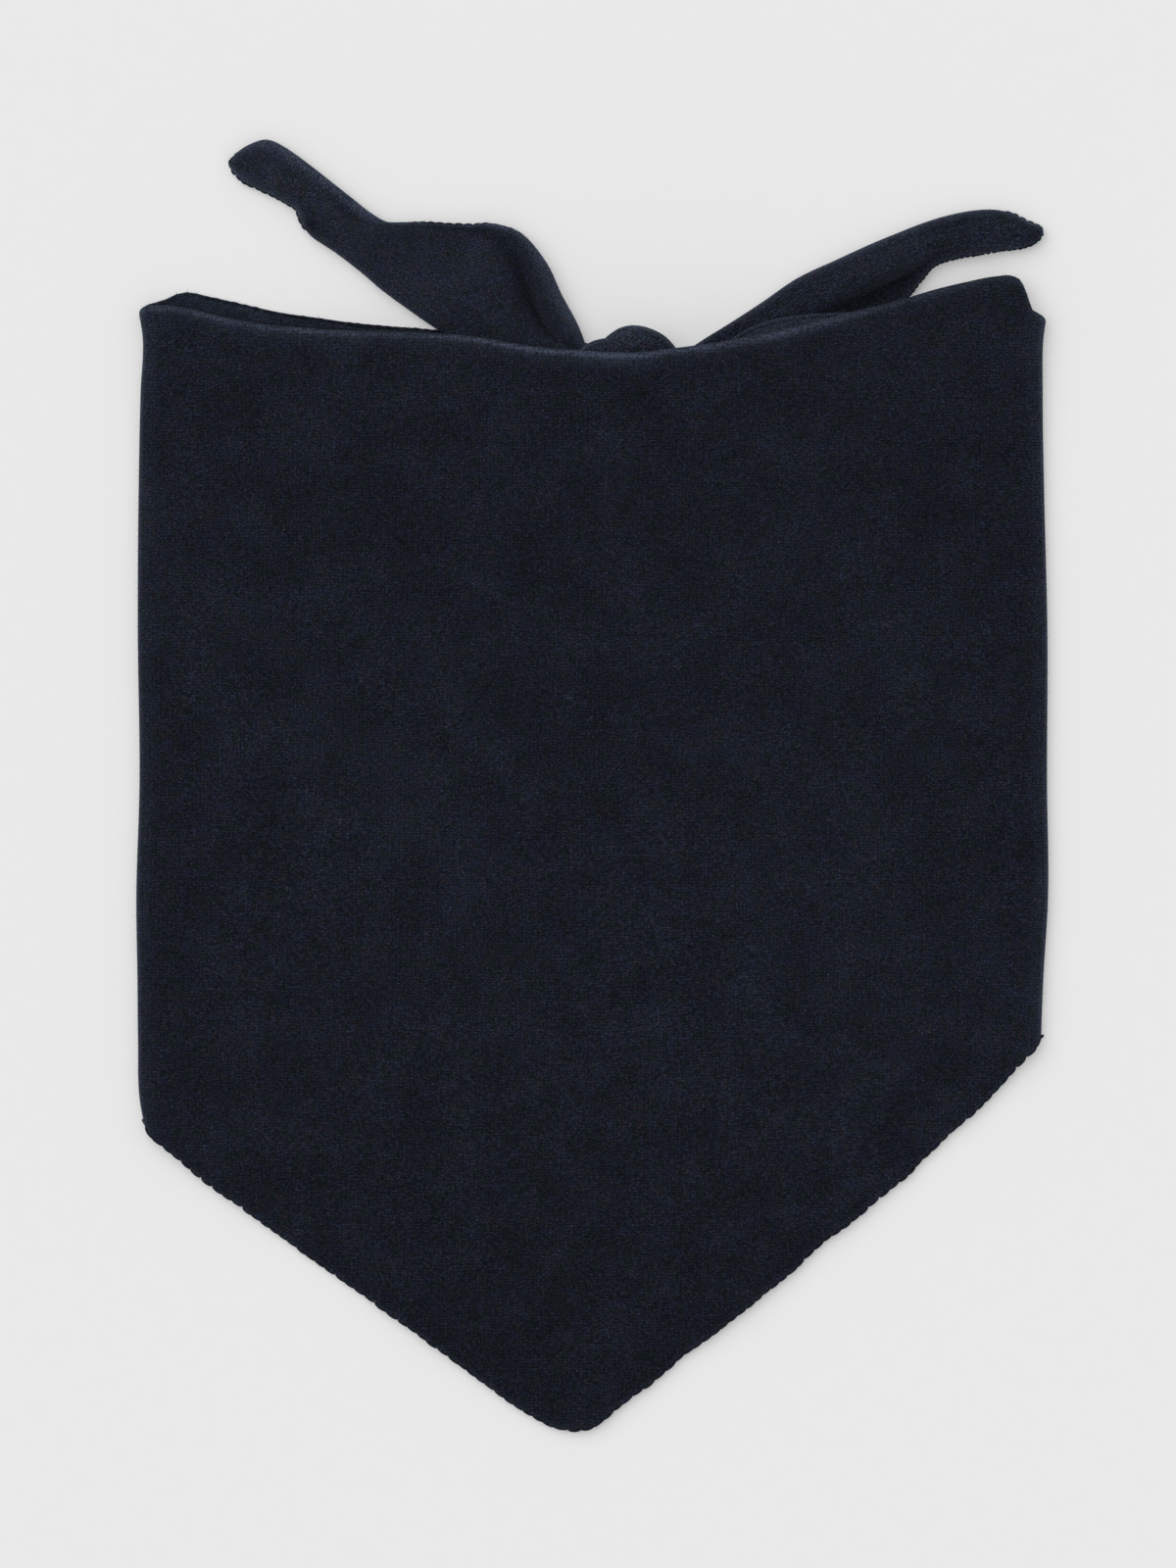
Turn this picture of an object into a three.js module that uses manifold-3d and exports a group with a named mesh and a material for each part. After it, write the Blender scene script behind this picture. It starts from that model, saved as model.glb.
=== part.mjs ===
// A knitted bandana, laid flat: one triangle of fine jersey, worn with its point to the front,
// its two ends taken round behind at the side folds and tied there in a reef knot.
// Millimetres, +Z up off the surface it lies on, the point of the triangle towards -Y.
// The origin is on the surface, under the middle of the outline.

import * as THREE from 'three';
import { mergeVertices } from 'three/addons/utils/BufferGeometryUtils.js';
import Module from 'manifold-3d';

// Driving dimensions
const CLOTH = 1.6;              // one layer of the knit
const SEAM_GAP = 0.3;           // between the end of one stretch of cloth and the start of the next
const LAYER_GAP = 0.5;          // between a layer and the one that lies on it
const EDGE_ROUND = 0.5;         // how far an edge's two rims draw in from its middle line
const FOLD_HEIGHT = 5;          // over the side folds, halfway down
const FOLD_OPENING = 2;         // how much more the folds stand open at the neck
const FOLD_OPENING_REACH = 25;
const FOLD_PUFF_REACH = 12;     // how far in from a side fold the panel comes down again
const RETURN_LINE = 147;        // how far from the middle the side folds' returns end
const NECK_ROLL = 1.4;          // how far the neck edge curls down from the panel behind it
const NECK_ROLL_WIDTH = 3;
const NECK_ROLL_REACH = 30;
const BACK_STEP_START = 14;     // the panel comes down to the surface this far below a wing's edge,
const BACK_STEP_END = 30;       // and lies on it from here on

// The knot, and the swelling of the front panel over it
const KNOT = { x: 13, y: 140 };
const KNOT_SWELL = { height: 14.2, halfWidth: 34, halfLength: 25, falloff: 2.2, power: 4 };
const GATHER_FILL = 0.66;       // how much of the room under the panel the gathered cloth takes up
const GATHER_RIDGE = 0.24;      // how deep the pleats' ridges are beside that
const GATHER_FULL = 0.75;       // how far along a wing its gathers are at their full height
const GATHER_EDGE = 1.5;        // how soon they rise from a wing's two edges
const PLEATS = 4;               // pleats across each wing, drawn together by the knot
const WING_CROWDING = 1.25;     // how much closer a wing's sections lie towards the knot

// Sections of the front panel from left to right: the neck edge and the lower edge at each x.
const FRONT_SECTIONS = [
  // x, neck, lower
  [-147, 163.5, -125.1],
  [-137, 162.0, -132.1],
  [-124, 158.9, -141.4],
  [-112, 156.8, -150.0],
  [-100, 155.8, -158.7],
  [-88, 154.9, -167.3],
  [-75, 154.3, -176.5],
  [-62, 153.7, -185.8],
  [-50, 153.2, -194.6],
  [-38, 151.8, -203.4],
  [-28, 150.0, -210.8],
  [-20, 148.7, -216.0],
  [-13, 147.9, -219.4],
  [-6, 147.4, -220.4],
  [1, 147.0, -218.8],
  [8, 146.7, -213.3],
  [16, 146.7, -207.0],
  [27, 148.0, -198.4],
  [40, 149.7, -188.2],
  [54, 152.4, -177.0],
  [67, 155.6, -166.6],
  [80, 158.9, -155.4],
  [92, 161.6, -145.9],
  [104, 164.7, -136.2],
  [116, 168.4, -124.8],
  [128, 171.3, -113.7],
  [138, 173.3, -104.2],
  [145, 173.8, -97.4],
  [149.5, 166.3, -93.0],
].map(([x, neck, lower]) => ({ x, neck, lower }));

// The outermost line of the two side folds, from the neck down.
const SIDE_FOLDS = [
  // y, left, right
  [175, -154.9, 155.4],
  [162, -154.9, 155.4],
  [153, -153.6, 154.1],
  [134, -154.3, 153.8],
  [100, -155.0, 154.3],
  [54, -155.3, 155.4],
  [0, -154.7, 155.3],
  [-40, -155.8, 155.6],
  [-67, -155.4, 154.0],
  [-88, -155.2, 153.3],
  [-108, -154.6, 153.3],
  [-118, -152.8, 153.3],
  [-130, -151.0, 153.3],
].map(([y, left, right]) => ({ y, left, right }));

// A side fold turns through these stations, from the layer on top to the one on the surface;
// each has its own neck and lower edge, because the folds end on a slant.
const FOLD_STATIONS = [
  // turn, leftNeck, leftLower, rightNeck, rightLower
  [90, 163.2, -121.0, 162.4, -90.5],
  [45, 162.8, -118.8, 160.6, -88.0],
  [0, 162.3, -116.0, 159.8, -86.2],
  [-45, 163.0, -116.6, 160.0, -87.0],
  [-90, 164.0, -117.2, 160.6, -87.6],
].map(([turn, leftNeck, leftLower, rightNeck, rightLower]) => (
  { turn, left: [leftNeck, leftLower], right: [rightNeck, rightLower] }));

// The wings: the two ends of the triangle behind the front panel. Each runs from its side
// fold's return to the knot. Its neck edge is a table, and its lower edge is the front's
// diagonal folded back, which the knot draws up more and more.
const LEFT_WING = {
  side: 'left', fold: -1, slope: 0.68, foot: -115.0, corner: 165.2,
  end: { x: -18.3, neck: 136.6, lower: 115 },
  neckEdge: [
    // x, y
    [-147, 165.2], [-140, 168.2], [-131, 166.8], [-119, 164.2], [-107, 161.5], [-94, 159.6],
    [-82, 157.8], [-69, 156.5], [-56, 155.6], [-46, 150.2], [-36, 144.2], [-27, 139.4],
    [-18.3, 136.6],
  ],
};
const RIGHT_WING = {
  side: 'right', fold: 1, slope: 0.86, foot: -84.5, corner: 161.5,
  end: { x: 44.3, neck: 150.6, lower: 117 },
  neckEdge: [
    // x, y
    [147.4, 161.5], [140, 164.5], [126, 166], [112, 164.2], [101, 162], [92, 161.3],
    [82, 160.6], [72, 160], [59, 157.6], [51, 154.2], [44.3, 150.6],
  ],
};

// The tails beyond the knot, each folded in two along its length, so that one side is a fold
// and the other has both edges. Height is how high the fold stands, and ridge how much higher
// the cloth stands near the open side.
const LEFT_TAIL = [
  // foldX, foldY, openX, openY, height, ridge
  [-18.5, 142.8, -5.5, 153.2, 5.6, 0],
  [-35, 146.8, -6.5, 158.8, 5.4, 1.4],
  [-51, 154.6, -11.5, 168.5, 5.2, 2.8],
  [-63.5, 162.8, -17.2, 181, 5.0, 2.8],
  [-72, 169, -30, 189.6, 4.8, 1.6],
  [-80, 176, -46, 191.6, 4.8, 0.4],
  [-88.5, 182.2, -62, 192.2, 4.8, 0],
  [-96.4, 187.2, -74, 192.6, 5.0, 0],
  [-98.9, 191.4, -79.5, 197, 5.0, 0],
  [-101.4, 196.2, -86.4, 202.8, 4.8, 0],
  [-106.6, 199.7, -95, 210.2, 4.6, 0],
  [-114, 203.5, -104.5, 217.4, 4.4, 0],
  [-119.8, 206.8, -111.2, 220.2, 4.2, 0],
  [-122.8, 210, -116.6, 218.8, 4.0, 0],
  [-123.8, 212.4, -121.4, 215.6, 3.9, 0],
];
const RIGHT_TAIL = [
  // foldX, foldY, openX, openY, height, ridge
  [38.4, 152.2, 45.2, 142.4, 3.9, 0],
  [47.5, 157.6, 57, 145.6, 4.0, 0],
  [57.5, 164.2, 70.5, 149.6, 4.4, 0],
  [69.8, 172.6, 84, 154.6, 4.8, 0],
  [83, 178.9, 97, 160.6, 5.2, 0],
  [95, 184.3, 106.5, 165.4, 5.4, 0.3],
  [104.2, 188, 111.5, 171.2, 5.4, 0.4],
  [112, 191.1, 117, 176.9, 5.2, 0.4],
  [120.5, 193.7, 124, 179, 5.0, 0.3],
  [129.2, 195.5, 132, 180.5, 4.8, 0],
  [138, 195.9, 140, 182, 4.6, 0],
  [144.8, 193.8, 147, 183.2, 4.4, 0],
  [150.2, 191.5, 151.3, 185.2, 4.2, 0],
  [153.2, 189.8, 153.4, 187.4, 4.0, 0],
];
const TAIL_RIDGE_PLACE = 0.8;   // where across a tail its soft ridge runs
const TAIL_RIDGE_SPREAD = 0.14;

// Where the right wing's neck edge rides over the right tail
const RIDE_HEIGHT = 4.6;
const RIDE_START = 18;          // it starts to rise this far below the tail,
const RIDE_FULL = 9;            // and has risen this far below it
const RIDE_OUT = { from: 103, to: 118 };

// The reef knot: two bights drawn through each other. Each strand's path starts where its wing
// ends and stops where its tail begins; x and y are from the knot's middle, z from the surface.
const LEFT_STRAND = [
  // x, y, z, width, height
  [-33, -14.2, 6, 22, 12.4],
  [-24, -10.6, 5, 15, 10],
  [-16, -6.4, 4.0, 11.5, 8.6],
  [-8, -6, 6.2, 11, 8],
  [0, -8, 10.8, 11, 8],
  [8, -10.4, 7.6, 11, 8],
  [13.5, -8.4, 4.2, 11, 8],
  [16.8, 0, 4.0, 11, 8.4],
  [13.5, 8.4, 4.2, 11, 8],
  [8, 10.4, 7.6, 11, 8],
  [0, 8.4, 11, 11, 8],
  [-8, 6, 6.2, 11, 8],
  [-15, 5.8, 4.0, 11.5, 8.4],
  [-20.5, 7, 3.2, 14, 6.6],
  [-25.6, 9.6, 2.6, 17.5, 5.6],
];
const RIGHT_STRAND = [
  // x, y, z, width, height
  [33, -9, 7, 27, 12],
  [24, -8.4, 7.4, 18, 10],
  [16, -6.4, 10.4, 12, 8],
  [8, -6.4, 8.4, 11, 8],
  [0, -8.6, 4.2, 11, 8.4],
  [-8, -10.4, 7.4, 11, 8],
  [-13.5, -8.4, 10.6, 11, 8],
  [-16.8, 0, 11.2, 11, 8],
  [-13.5, 8.4, 10.6, 11, 8],
  [-8, 10.4, 7.4, 11, 8],
  [0, 8.6, 4.2, 11, 8.4],
  [8, 6.4, 8.4, 11, 8],
  [15, 6, 9.4, 11.5, 7.6],
  [21.5, 6.2, 4.6, 12, 5.4],
  [30, 7.6, 2.0, 12.5, 3.8],
];
const STRAND_SIDES = 10;
const STEPS_PER_LEG = 2;
const ROW_SPACING = 10;         // along a strand, for blending its widths and heights

const NAVY = 0x1b1e26;

const mix = (a, b, share) => a + (b - a) * share;
const ease = (from, to, value) => THREE.MathUtils.smoothstep(value, from, to);

// The value of a table's column at a place on its key column, straight between rows.
function lookUp(table, key, column, place) {
  const rows = [...table].sort((a, b) => a[key] - b[key]);
  const last = rows.length - 1;
  const above = Math.min(last, Math.max(1, rows.findIndex((row) => row[key] >= place)));
  const next = place > rows[last][key] ? last : above;
  const [low, high] = [rows[next - 1], rows[next]];
  const share = THREE.MathUtils.clamp((place - low[key]) / (high[key] - low[key]), 0, 1);
  return mix(low[column], high[column], share);
}

// The lower edge of a wing at x: the folded diagonal, drawn up towards the knot by a cube.
function wingLowerEdge(wing, x) {
  const start = wing.fold * RETURN_LINE;
  const span = Math.abs(wing.end.x - start);
  const gone = THREE.MathUtils.clamp(-wing.fold * (x - start), 0, span);
  const drawnUp = wing.end.lower - wing.foot - wing.slope * span;
  return wing.foot + wing.slope * gone + drawnUp * (gone / span) ** 3;
}

const neckEdgeOf = (wing) => wing.neckEdge.map(([x, y]) => ({ x, y }));

// How high the front panel swells over the knot and the cloth gathered beside it.
function knotSwell(x, y) {
  const { height, halfWidth, halfLength, falloff, power } = KNOT_SWELL;
  const reach = Math.hypot((x - KNOT.x) / halfWidth, (y - KNOT.y) / halfLength);
  return height / (1 + (reach / falloff) ** power);
}

// 1 where a wing lies behind the front panel, easing to 0 below its lower edge.
function backing(x, y) {
  const wing = x < KNOT.x ? LEFT_WING : RIGHT_WING;
  const step = 2;
  const rise = (wingLowerEdge(wing, x + step) - wingLowerEdge(wing, x - step)) / (2 * step);
  const below = (wingLowerEdge(wing, x) - y) / Math.hypot(1, rise);
  return 1 - ease(BACK_STEP_START, BACK_STEP_END, below);
}

const foldHeight = (y, neck) => (
  FOLD_HEIGHT + FOLD_OPENING * Math.exp(-(((neck - y) / FOLD_OPENING_REACH) ** 2)));

// The height of the front panel's middle surface.
function panelHeight(x, y, neck) {
  const fromNeck = Math.max(0, neck - y);
  const behind = (CLOTH + LAYER_GAP) * backing(x, y);
  const rolled = NECK_ROLL * ease(0, NECK_ROLL_WIDTH, fromNeck)
    * (1 - ease(NECK_ROLL_WIDTH, NECK_ROLL_REACH, fromNeck));
  const flat = behind + knotSwell(x, y) + rolled;
  const left = Math.abs(x - lookUp(SIDE_FOLDS, 'y', 'left', y));
  const right = Math.abs(lookUp(SIDE_FOLDS, 'y', 'right', y) - x);
  const beside = Math.exp(-((Math.min(left, right) / FOLD_PUFF_REACH) ** 2));
  return CLOTH / 2 + mix(flat, Math.max(flat, foldHeight(y, neck) - CLOTH), beside);
}

// A closed sheet between two grids of points, with its edge rounded out between them.
function closedSheet(lower, upper) {
  const across = lower.length - 1;
  const along = lower[0].length - 1;
  const box = new THREE.BoxGeometry(1, 1, 1, across, along, 2);
  box.deleteAttribute('normal');
  box.deleteAttribute('uv');
  const sheet = mergeVertices(box);
  const place = sheet.attributes.position;
  for (let k = 0; k < place.count; k++) {
    const i = Math.round((place.getX(k) + 0.5) * across);
    const j = Math.round((place.getY(k) + 0.5) * along);
    const side = place.getZ(k);
    const point = lower[i][j].clone().lerp(upper[i][j], side + 0.5);
    const inI = THREE.MathUtils.clamp(i, 1, across - 1);
    const inJ = THREE.MathUtils.clamp(j, 1, along - 1);
    if (side !== 0 && (inI !== i || inJ !== j)) {
      const inside = lower[inI][inJ].clone().lerp(upper[inI][inJ], side + 0.5);
      point.lerp(inside, Math.min(0.4, EDGE_ROUND / point.distanceTo(inside)));
    }
    place.setXYZ(k, point.x, point.y, point.z);
  }
  return sheet;
}

// One layer of cloth around a grid of points on its middle surface.
function clothOver(middle) {
  const across = middle.length - 1;
  const along = middle[0].length - 1;
  const shifted = (amount) => middle.map((column, i) => column.map((point, j) => {
    const [west, east] = [middle[Math.max(0, i - 1)][j], middle[Math.min(across, i + 1)][j]];
    const [south, north] = [column[Math.max(0, j - 1)], column[Math.min(along, j + 1)]];
    const normal = east.clone().sub(west).cross(north.clone().sub(south)).normalize();
    return point.clone().addScaledVector(normal, amount);
  }));
  return closedSheet(shifted(-CLOTH / 2), shifted(CLOTH / 2));
}

// Distances from the neck edge down a column: close together at the roll, then even.
function rowsDown(length) {
  const ROLL_ROWS = [0, 1.2, 3, 8];
  const PLAIN_ROWS = 20;
  const last = ROLL_ROWS.at(-1);
  const plain = Array.from({ length: PLAIN_ROWS }, (_, k) => mix(last, length, (k + 1) / PLAIN_ROWS));
  return [...ROLL_ROWS, ...plain];
}

// A column of the grid from the lower edge up to the neck edge.
function column(neck, lower, place) {
  return rowsDown(neck - lower).reverse().map((down) => place(neck - down));
}

// One side fold, from the panel on top round to the return on the surface.
function foldColumns(side) {
  const outward = side === 'left' ? -1 : 1;
  const round = FOLD_STATIONS.map((station) => {
    const [neck, lower] = station[side];
    return column(neck, lower, (y) => {
      const radius = (foldHeight(y, neck) - CLOTH) / 2;
      const turn = THREE.MathUtils.degToRad(station.turn);
      const inset = CLOTH / 2 + radius * (1 - Math.cos(turn));
      const x = lookUp(SIDE_FOLDS, 'y', side, y) - outward * inset;
      return new THREE.Vector3(x, y, CLOTH / 2 + radius * (1 + Math.sin(turn)));
    });
  });
  const wing = side === 'left' ? LEFT_WING : RIGHT_WING;
  const back = column(wing.corner, wing.foot, (y) => (
    new THREE.Vector3(outward * RETURN_LINE, y, CLOTH / 2)));
  return [...round, back];
}

function frontPanel() {
  const panel = FRONT_SECTIONS.map(({ x, neck, lower }) => (
    column(neck, lower, (y) => new THREE.Vector3(x, y, panelHeight(x, y, neck)))));
  return clothOver([...foldColumns('left').reverse(), ...panel, ...foldColumns('right')]);
}

// How far a wing is lifted to pass over the right tail.
function rideOverTail(wing, x, y) {
  if (wing !== RIGHT_WING) return 0;
  const openSide = RIGHT_TAIL.map(([, , openX, openY]) => ({ x: openX, y: openY }));
  const tailEdge = lookUp(openSide, 'x', 'y', x);
  return RIDE_HEIGHT * ease(tailEdge - RIDE_START, tailEdge - RIDE_FULL, y)
    * (1 - ease(RIDE_OUT.from, RIDE_OUT.to, x));
}

// A wing: a flat layer at its fold, gathered into ridged pleats that fill out towards the knot.
function backWing(wing) {
  const COLUMNS = 14;
  const ROWS_PER_PLEAT = 5;
  const rows = PLEATS * ROWS_PER_PLEAT;
  const neckEdge = neckEdgeOf(wing);
  const start = wing.fold * (RETURN_LINE - SEAM_GAP);
  const lower = [];
  const upper = [];
  for (let i = 0; i <= COLUMNS; i++) {
    const along = 1 - (1 - i / COLUMNS) ** WING_CROWDING;
    const x = mix(start, wing.end.x, along);
    const lowerColumn = [];
    const upperColumn = [];
    for (let j = 0; j <= rows; j++) {
      const share = j / rows;
      const y = mix(wingLowerEdge(wing, x), lookUp(neckEdge, 'x', 'y', x), share);
      const ridge = 0.5 - 0.5 * Math.cos(2 * Math.PI * PLEATS * share);
      const fromEdges = Math.min(1, 4 * GATHER_EDGE * share * (1 - share));
      const rising = ease(0, GATHER_FULL, along) * Math.sin(Math.PI / 2 * fromEdges);
      const fill = (GATHER_FILL + GATHER_RIDGE * ridge) * rising;
      const ride = rideOverTail(wing, x, y);
      lowerColumn.push(new THREE.Vector3(x, y, ride));
      upperColumn.push(new THREE.Vector3(x, y, CLOTH + Math.max(ride, fill * knotSwell(x, y))));
    }
    lower.push(lowerColumn);
    upper.push(upperColumn);
  }
  return wing.fold < 0 ? closedSheet(lower, upper) : closedSheet(lower.reverse(), upper.reverse());
}

// A tail: the cloth folded in two along its near side, the upper layer over the lower one.
function tail(sections) {
  const FLOOR_STEPS = 4;
  const FOLD_STEPS = 4;
  const TOP_STEPS = 8;
  const smooth = (pick) => new THREE.CatmullRomCurve3(sections.map(pick), false, 'centripetal');
  const fold = smooth(([foldX, foldY]) => new THREE.Vector3(foldX, foldY, 0));
  const open = smooth(([, , openX, openY]) => new THREE.Vector3(openX, openY, 0));
  const rise = smooth(([, , , , height, ridge], row) => new THREE.Vector3(height, ridge, row));
  const steps = Math.round(1.5 * (sections.length - 1));
  const columns = [];
  for (let i = 0; i <= steps; i++) {
    const at = i / steps;
    const [a, b, { x: height, y: ridge }] = [fold.getPoint(at), open.getPoint(at), rise.getPoint(at)];
    const width = a.distanceTo(b);
    const radius = (height - CLOTH) / 2;
    const inner = CLOTH / 2 / width;
    const crown = Math.min(0.45, inner + radius / width);
    const settled = CLOTH + LAYER_GAP + CLOTH / 2;
    const spot = (share, z) => new THREE.Vector3(mix(a.x, b.x, share), mix(a.y, b.y, share), z);
    const points = [];
    for (let k = 0; k < FLOOR_STEPS; k++) {
      points.push(spot(mix(1 - inner, crown, k / FLOOR_STEPS), CLOTH / 2));
    }
    for (let k = 0; k <= FOLD_STEPS; k++) {
      const turn = -Math.PI / 2 + Math.PI * k / FOLD_STEPS;
      points.push(spot(crown - (crown - inner) * Math.cos(turn), CLOTH / 2 + radius * (1 + Math.sin(turn))));
    }
    for (let k = 1; k <= TOP_STEPS; k++) {
      const share = mix(crown, 1 - inner, k / TOP_STEPS);
      const come = ease(crown, 1, share);
      const swell = Math.exp(-(((share - TAIL_RIDGE_PLACE) / TAIL_RIDGE_SPREAD) ** 2));
      points.push(spot(share, mix(height - CLOTH / 2, settled, come) + ridge * swell));
    }
    columns.push(points);
  }
  return clothOver(columns);
}

// One strand of the knot: a flattened rope swept along its path, as wide and high as its table says.
function strand(rows) {
  const path = new THREE.CatmullRomCurve3(rows.map(([x, y, z]) => new THREE.Vector3(x, y, z)));
  const sizes = new THREE.CatmullRomCurve3(
    rows.map(([, , , width, height], row) => new THREE.Vector3(width, height, ROW_SPACING * row)));
  const steps = STEPS_PER_LEG * (rows.length - 1);
  const tube = new THREE.CylinderGeometry(1, 1, 1, STRAND_SIDES, steps);
  tube.deleteAttribute('normal');
  tube.deleteAttribute('uv');
  const solid = mergeVertices(tube);
  const place = solid.attributes.position;
  const up = new THREE.Vector3(0, 0, 1);
  for (let k = 0; k < place.count; k++) {
    const at = place.getY(k) + 0.5;
    const forward = path.getTangent(at);
    const sideways = forward.clone().cross(up).normalize();
    const over = sideways.clone().cross(forward);
    const { x: width, y: height } = sizes.getPoint(at);
    const point = path.getPoint(at)
      .addScaledVector(sideways, place.getX(k) * width / 2)
      .addScaledVector(over, place.getZ(k) * height / 2);
    place.setXYZ(k, KNOT.x + point.x, KNOT.y + point.y, point.z);
  }
  return solid;
}

const wasm = await Module();
wasm.setup();

function toSolid(geometry) {
  const vertProperties = new Float32Array(geometry.attributes.position.array);
  const triVerts = new Uint32Array(geometry.index.array);
  return new wasm.Manifold(new wasm.Mesh({ numProp: 3, vertProperties, triVerts }));
}

function toGeometry(solid) {
  const { vertProperties, triVerts } = solid.getMesh();
  const geometry = new THREE.BufferGeometry();
  geometry.setAttribute('position', new THREE.BufferAttribute(vertProperties, 3));
  geometry.setIndex(new THREE.BufferAttribute(triVerts, 1));
  return geometry;
}

function merged(geometry) {
  geometry.deleteAttribute('normal');
  geometry.deleteAttribute('uv');
  return mergeVertices(geometry);
}

const wingEndLine = ({ end }) => (
  [new THREE.Vector3(end.x, end.lower, 0), new THREE.Vector3(end.x, end.neck, 0)]);

const rootLine = ([[foldX, foldY, openX, openY]]) => (
  [new THREE.Vector3(foldX, foldY, 0), new THREE.Vector3(openX, openY, 0)]);

// A block on the left of the line from one point to another, a seam's gap short of it.
function beyondLine(from, to) {
  const OVERRUN = 1.5;
  const DEPTH = 12;
  const length = from.distanceTo(to) + 2 * OVERRUN;
  const direction = to.clone().sub(from).normalize();
  const block = merged(new THREE.BoxGeometry(length, DEPTH, 60));
  block.translate(0, DEPTH / 2 - SEAM_GAP, 0);
  block.rotateZ(Math.atan2(direction.y, direction.x));
  const middle = from.clone().lerp(to, 0.5);
  block.translate(middle.x, middle.y, 0);
  return block;
}

// The reef knot: both strands and the cloth pressed into their middle, cut flat where it rests.
function reefKnot() {
  const CORE = { width: 24, length: 20, height: 12 };
  const core = merged(new THREE.SphereGeometry(0.5, 16, 10));
  core.scale(CORE.width, CORE.length, CORE.height);
  core.translate(KNOT.x, KNOT.y, CORE.height / 2);
  const below = merged(new THREE.BoxGeometry(120, 80, 20));
  below.translate(KNOT.x, KNOT.y, -10);
  const whole = toSolid(strand(LEFT_STRAND)).add(toSolid(strand(RIGHT_STRAND))).add(toSolid(core));
  const cuts = [
    beyondLine(...wingEndLine(LEFT_WING)),
    beyondLine(...wingEndLine(RIGHT_WING).reverse()),
    beyondLine(...rootLine(LEFT_TAIL)),
    beyondLine(...rootLine(RIGHT_TAIL)),
    below,
  ];
  return toGeometry(cuts.reduce((knot, cut) => knot.subtract(toSolid(cut)), whole));
}

const bandana = new THREE.Group();

function add(name, geometry) {
  const knit = new THREE.MeshStandardMaterial({ color: NAVY, roughness: 0.95, metalness: 0 });
  const mesh = new THREE.Mesh(geometry, knit);
  mesh.name = name;
  bandana.add(mesh);
}

add('front_panel', frontPanel());
add('left_wing', backWing(LEFT_WING));
add('right_wing', backWing(RIGHT_WING));
add('reef_knot', reefKnot());
add('left_tail', tail(LEFT_TAIL));
add('right_tail', tail(RIGHT_TAIL));

export default bandana;
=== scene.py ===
import math
import random

import bmesh
import bpy
from bpy.props import FloatProperty, FloatVectorProperty, IntProperty, PointerProperty
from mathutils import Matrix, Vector, noise


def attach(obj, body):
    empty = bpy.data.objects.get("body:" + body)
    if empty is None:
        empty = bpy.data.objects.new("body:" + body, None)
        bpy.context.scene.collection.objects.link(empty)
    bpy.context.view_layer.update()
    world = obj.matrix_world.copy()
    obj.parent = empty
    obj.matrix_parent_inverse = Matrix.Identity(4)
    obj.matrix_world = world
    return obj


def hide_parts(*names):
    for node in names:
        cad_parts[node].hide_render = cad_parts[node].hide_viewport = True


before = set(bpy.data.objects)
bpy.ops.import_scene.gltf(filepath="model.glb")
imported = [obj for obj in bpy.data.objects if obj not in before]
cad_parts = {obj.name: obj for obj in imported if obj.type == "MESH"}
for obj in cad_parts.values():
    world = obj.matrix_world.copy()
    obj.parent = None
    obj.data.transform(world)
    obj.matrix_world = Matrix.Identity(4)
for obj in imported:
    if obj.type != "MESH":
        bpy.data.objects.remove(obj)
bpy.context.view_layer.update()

bl_info = {
    "name": "Knitted Bandana",
    "version": (1, 0, 0),
    "blender": (4, 5, 0),
    "location": "View3D > Sidebar > Bandana",
    "description": "Builds a knitted bandana, laid flat and tied behind in a reef knot",
    "category": "Add Mesh",
}

# Tables and sizes below are in millimetres; vertices are placed in metres.
MM = 0.001

# The front panel from left to right: its neck edge and its lower edge at each x.
FRONT_SECTIONS = (
    # x, neck, lower
    (-152.4, 163.2, -121.0),
    (-147, 163.3, -125.1),
    (-137, 162.0, -132.1),
    (-124, 158.9, -141.4),
    (-112, 156.8, -150.0),
    (-100, 155.8, -158.7),
    (-88, 154.9, -167.3),
    (-75, 154.3, -176.5),
    (-62, 153.7, -185.8),
    (-50, 153.2, -194.6),
    (-38, 151.8, -203.4),
    (-28, 150.0, -210.8),
    (-20, 148.7, -216.0),
    (-13, 147.9, -219.4),
    (-6, 147.4, -220.4),
    (1, 147.0, -218.8),
    (8, 146.7, -213.3),
    (16, 146.7, -207.0),
    (27, 148.0, -198.4),
    (40, 149.7, -188.2),
    (54, 152.0, -177.0),
    (67, 154.9, -166.6),
    (80, 158.4, -155.4),
    (92, 161.6, -145.9),
    (104, 164.7, -136.2),
    (116, 168.4, -124.8),
    (128, 171.3, -113.7),
    (138, 173.3, -104.2),
    (143.6, 173.4, -98.8),
    (146.4, 171.6, -96.2),
    (148.2, 167.2, -94.4),
    (149.6, 163.2, -93.1),
    (152.6, 160.8, -90.5),
)

# The outermost line of the two side folds, from the neck down.
SIDE_FOLDS = (
    # y, left, right
    (175, -154.9, 155.4),
    (162, -154.9, 155.4),
    (153, -153.6, 154.1),
    (134, -154.3, 153.8),
    (100, -155.0, 154.3),
    (54, -155.3, 155.4),
    (0, -154.7, 155.3),
    (-40, -155.8, 155.6),
    (-67, -155.4, 154.0),
    (-88, -155.2, 153.3),
    (-108, -154.6, 153.3),
    (-118, -152.8, 153.3),
    (-130, -151.0, 153.3),
)

# A side fold turns through these stations, from the layer on top to the one on the surface.
FOLD_ENDS = (
    # turn, left neck, left lower, right neck, right lower
    (90, 163.2, -121.0, 160.8, -90.5),
    (45, 162.8, -118.8, 160.0, -88.0),
    (0, 162.3, -116.0, 159.4, -86.2),
    (-45, 163.0, -116.6, 160.0, -87.0),
    (-90, 164.0, -117.2, 160.6, -87.6),
)

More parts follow.
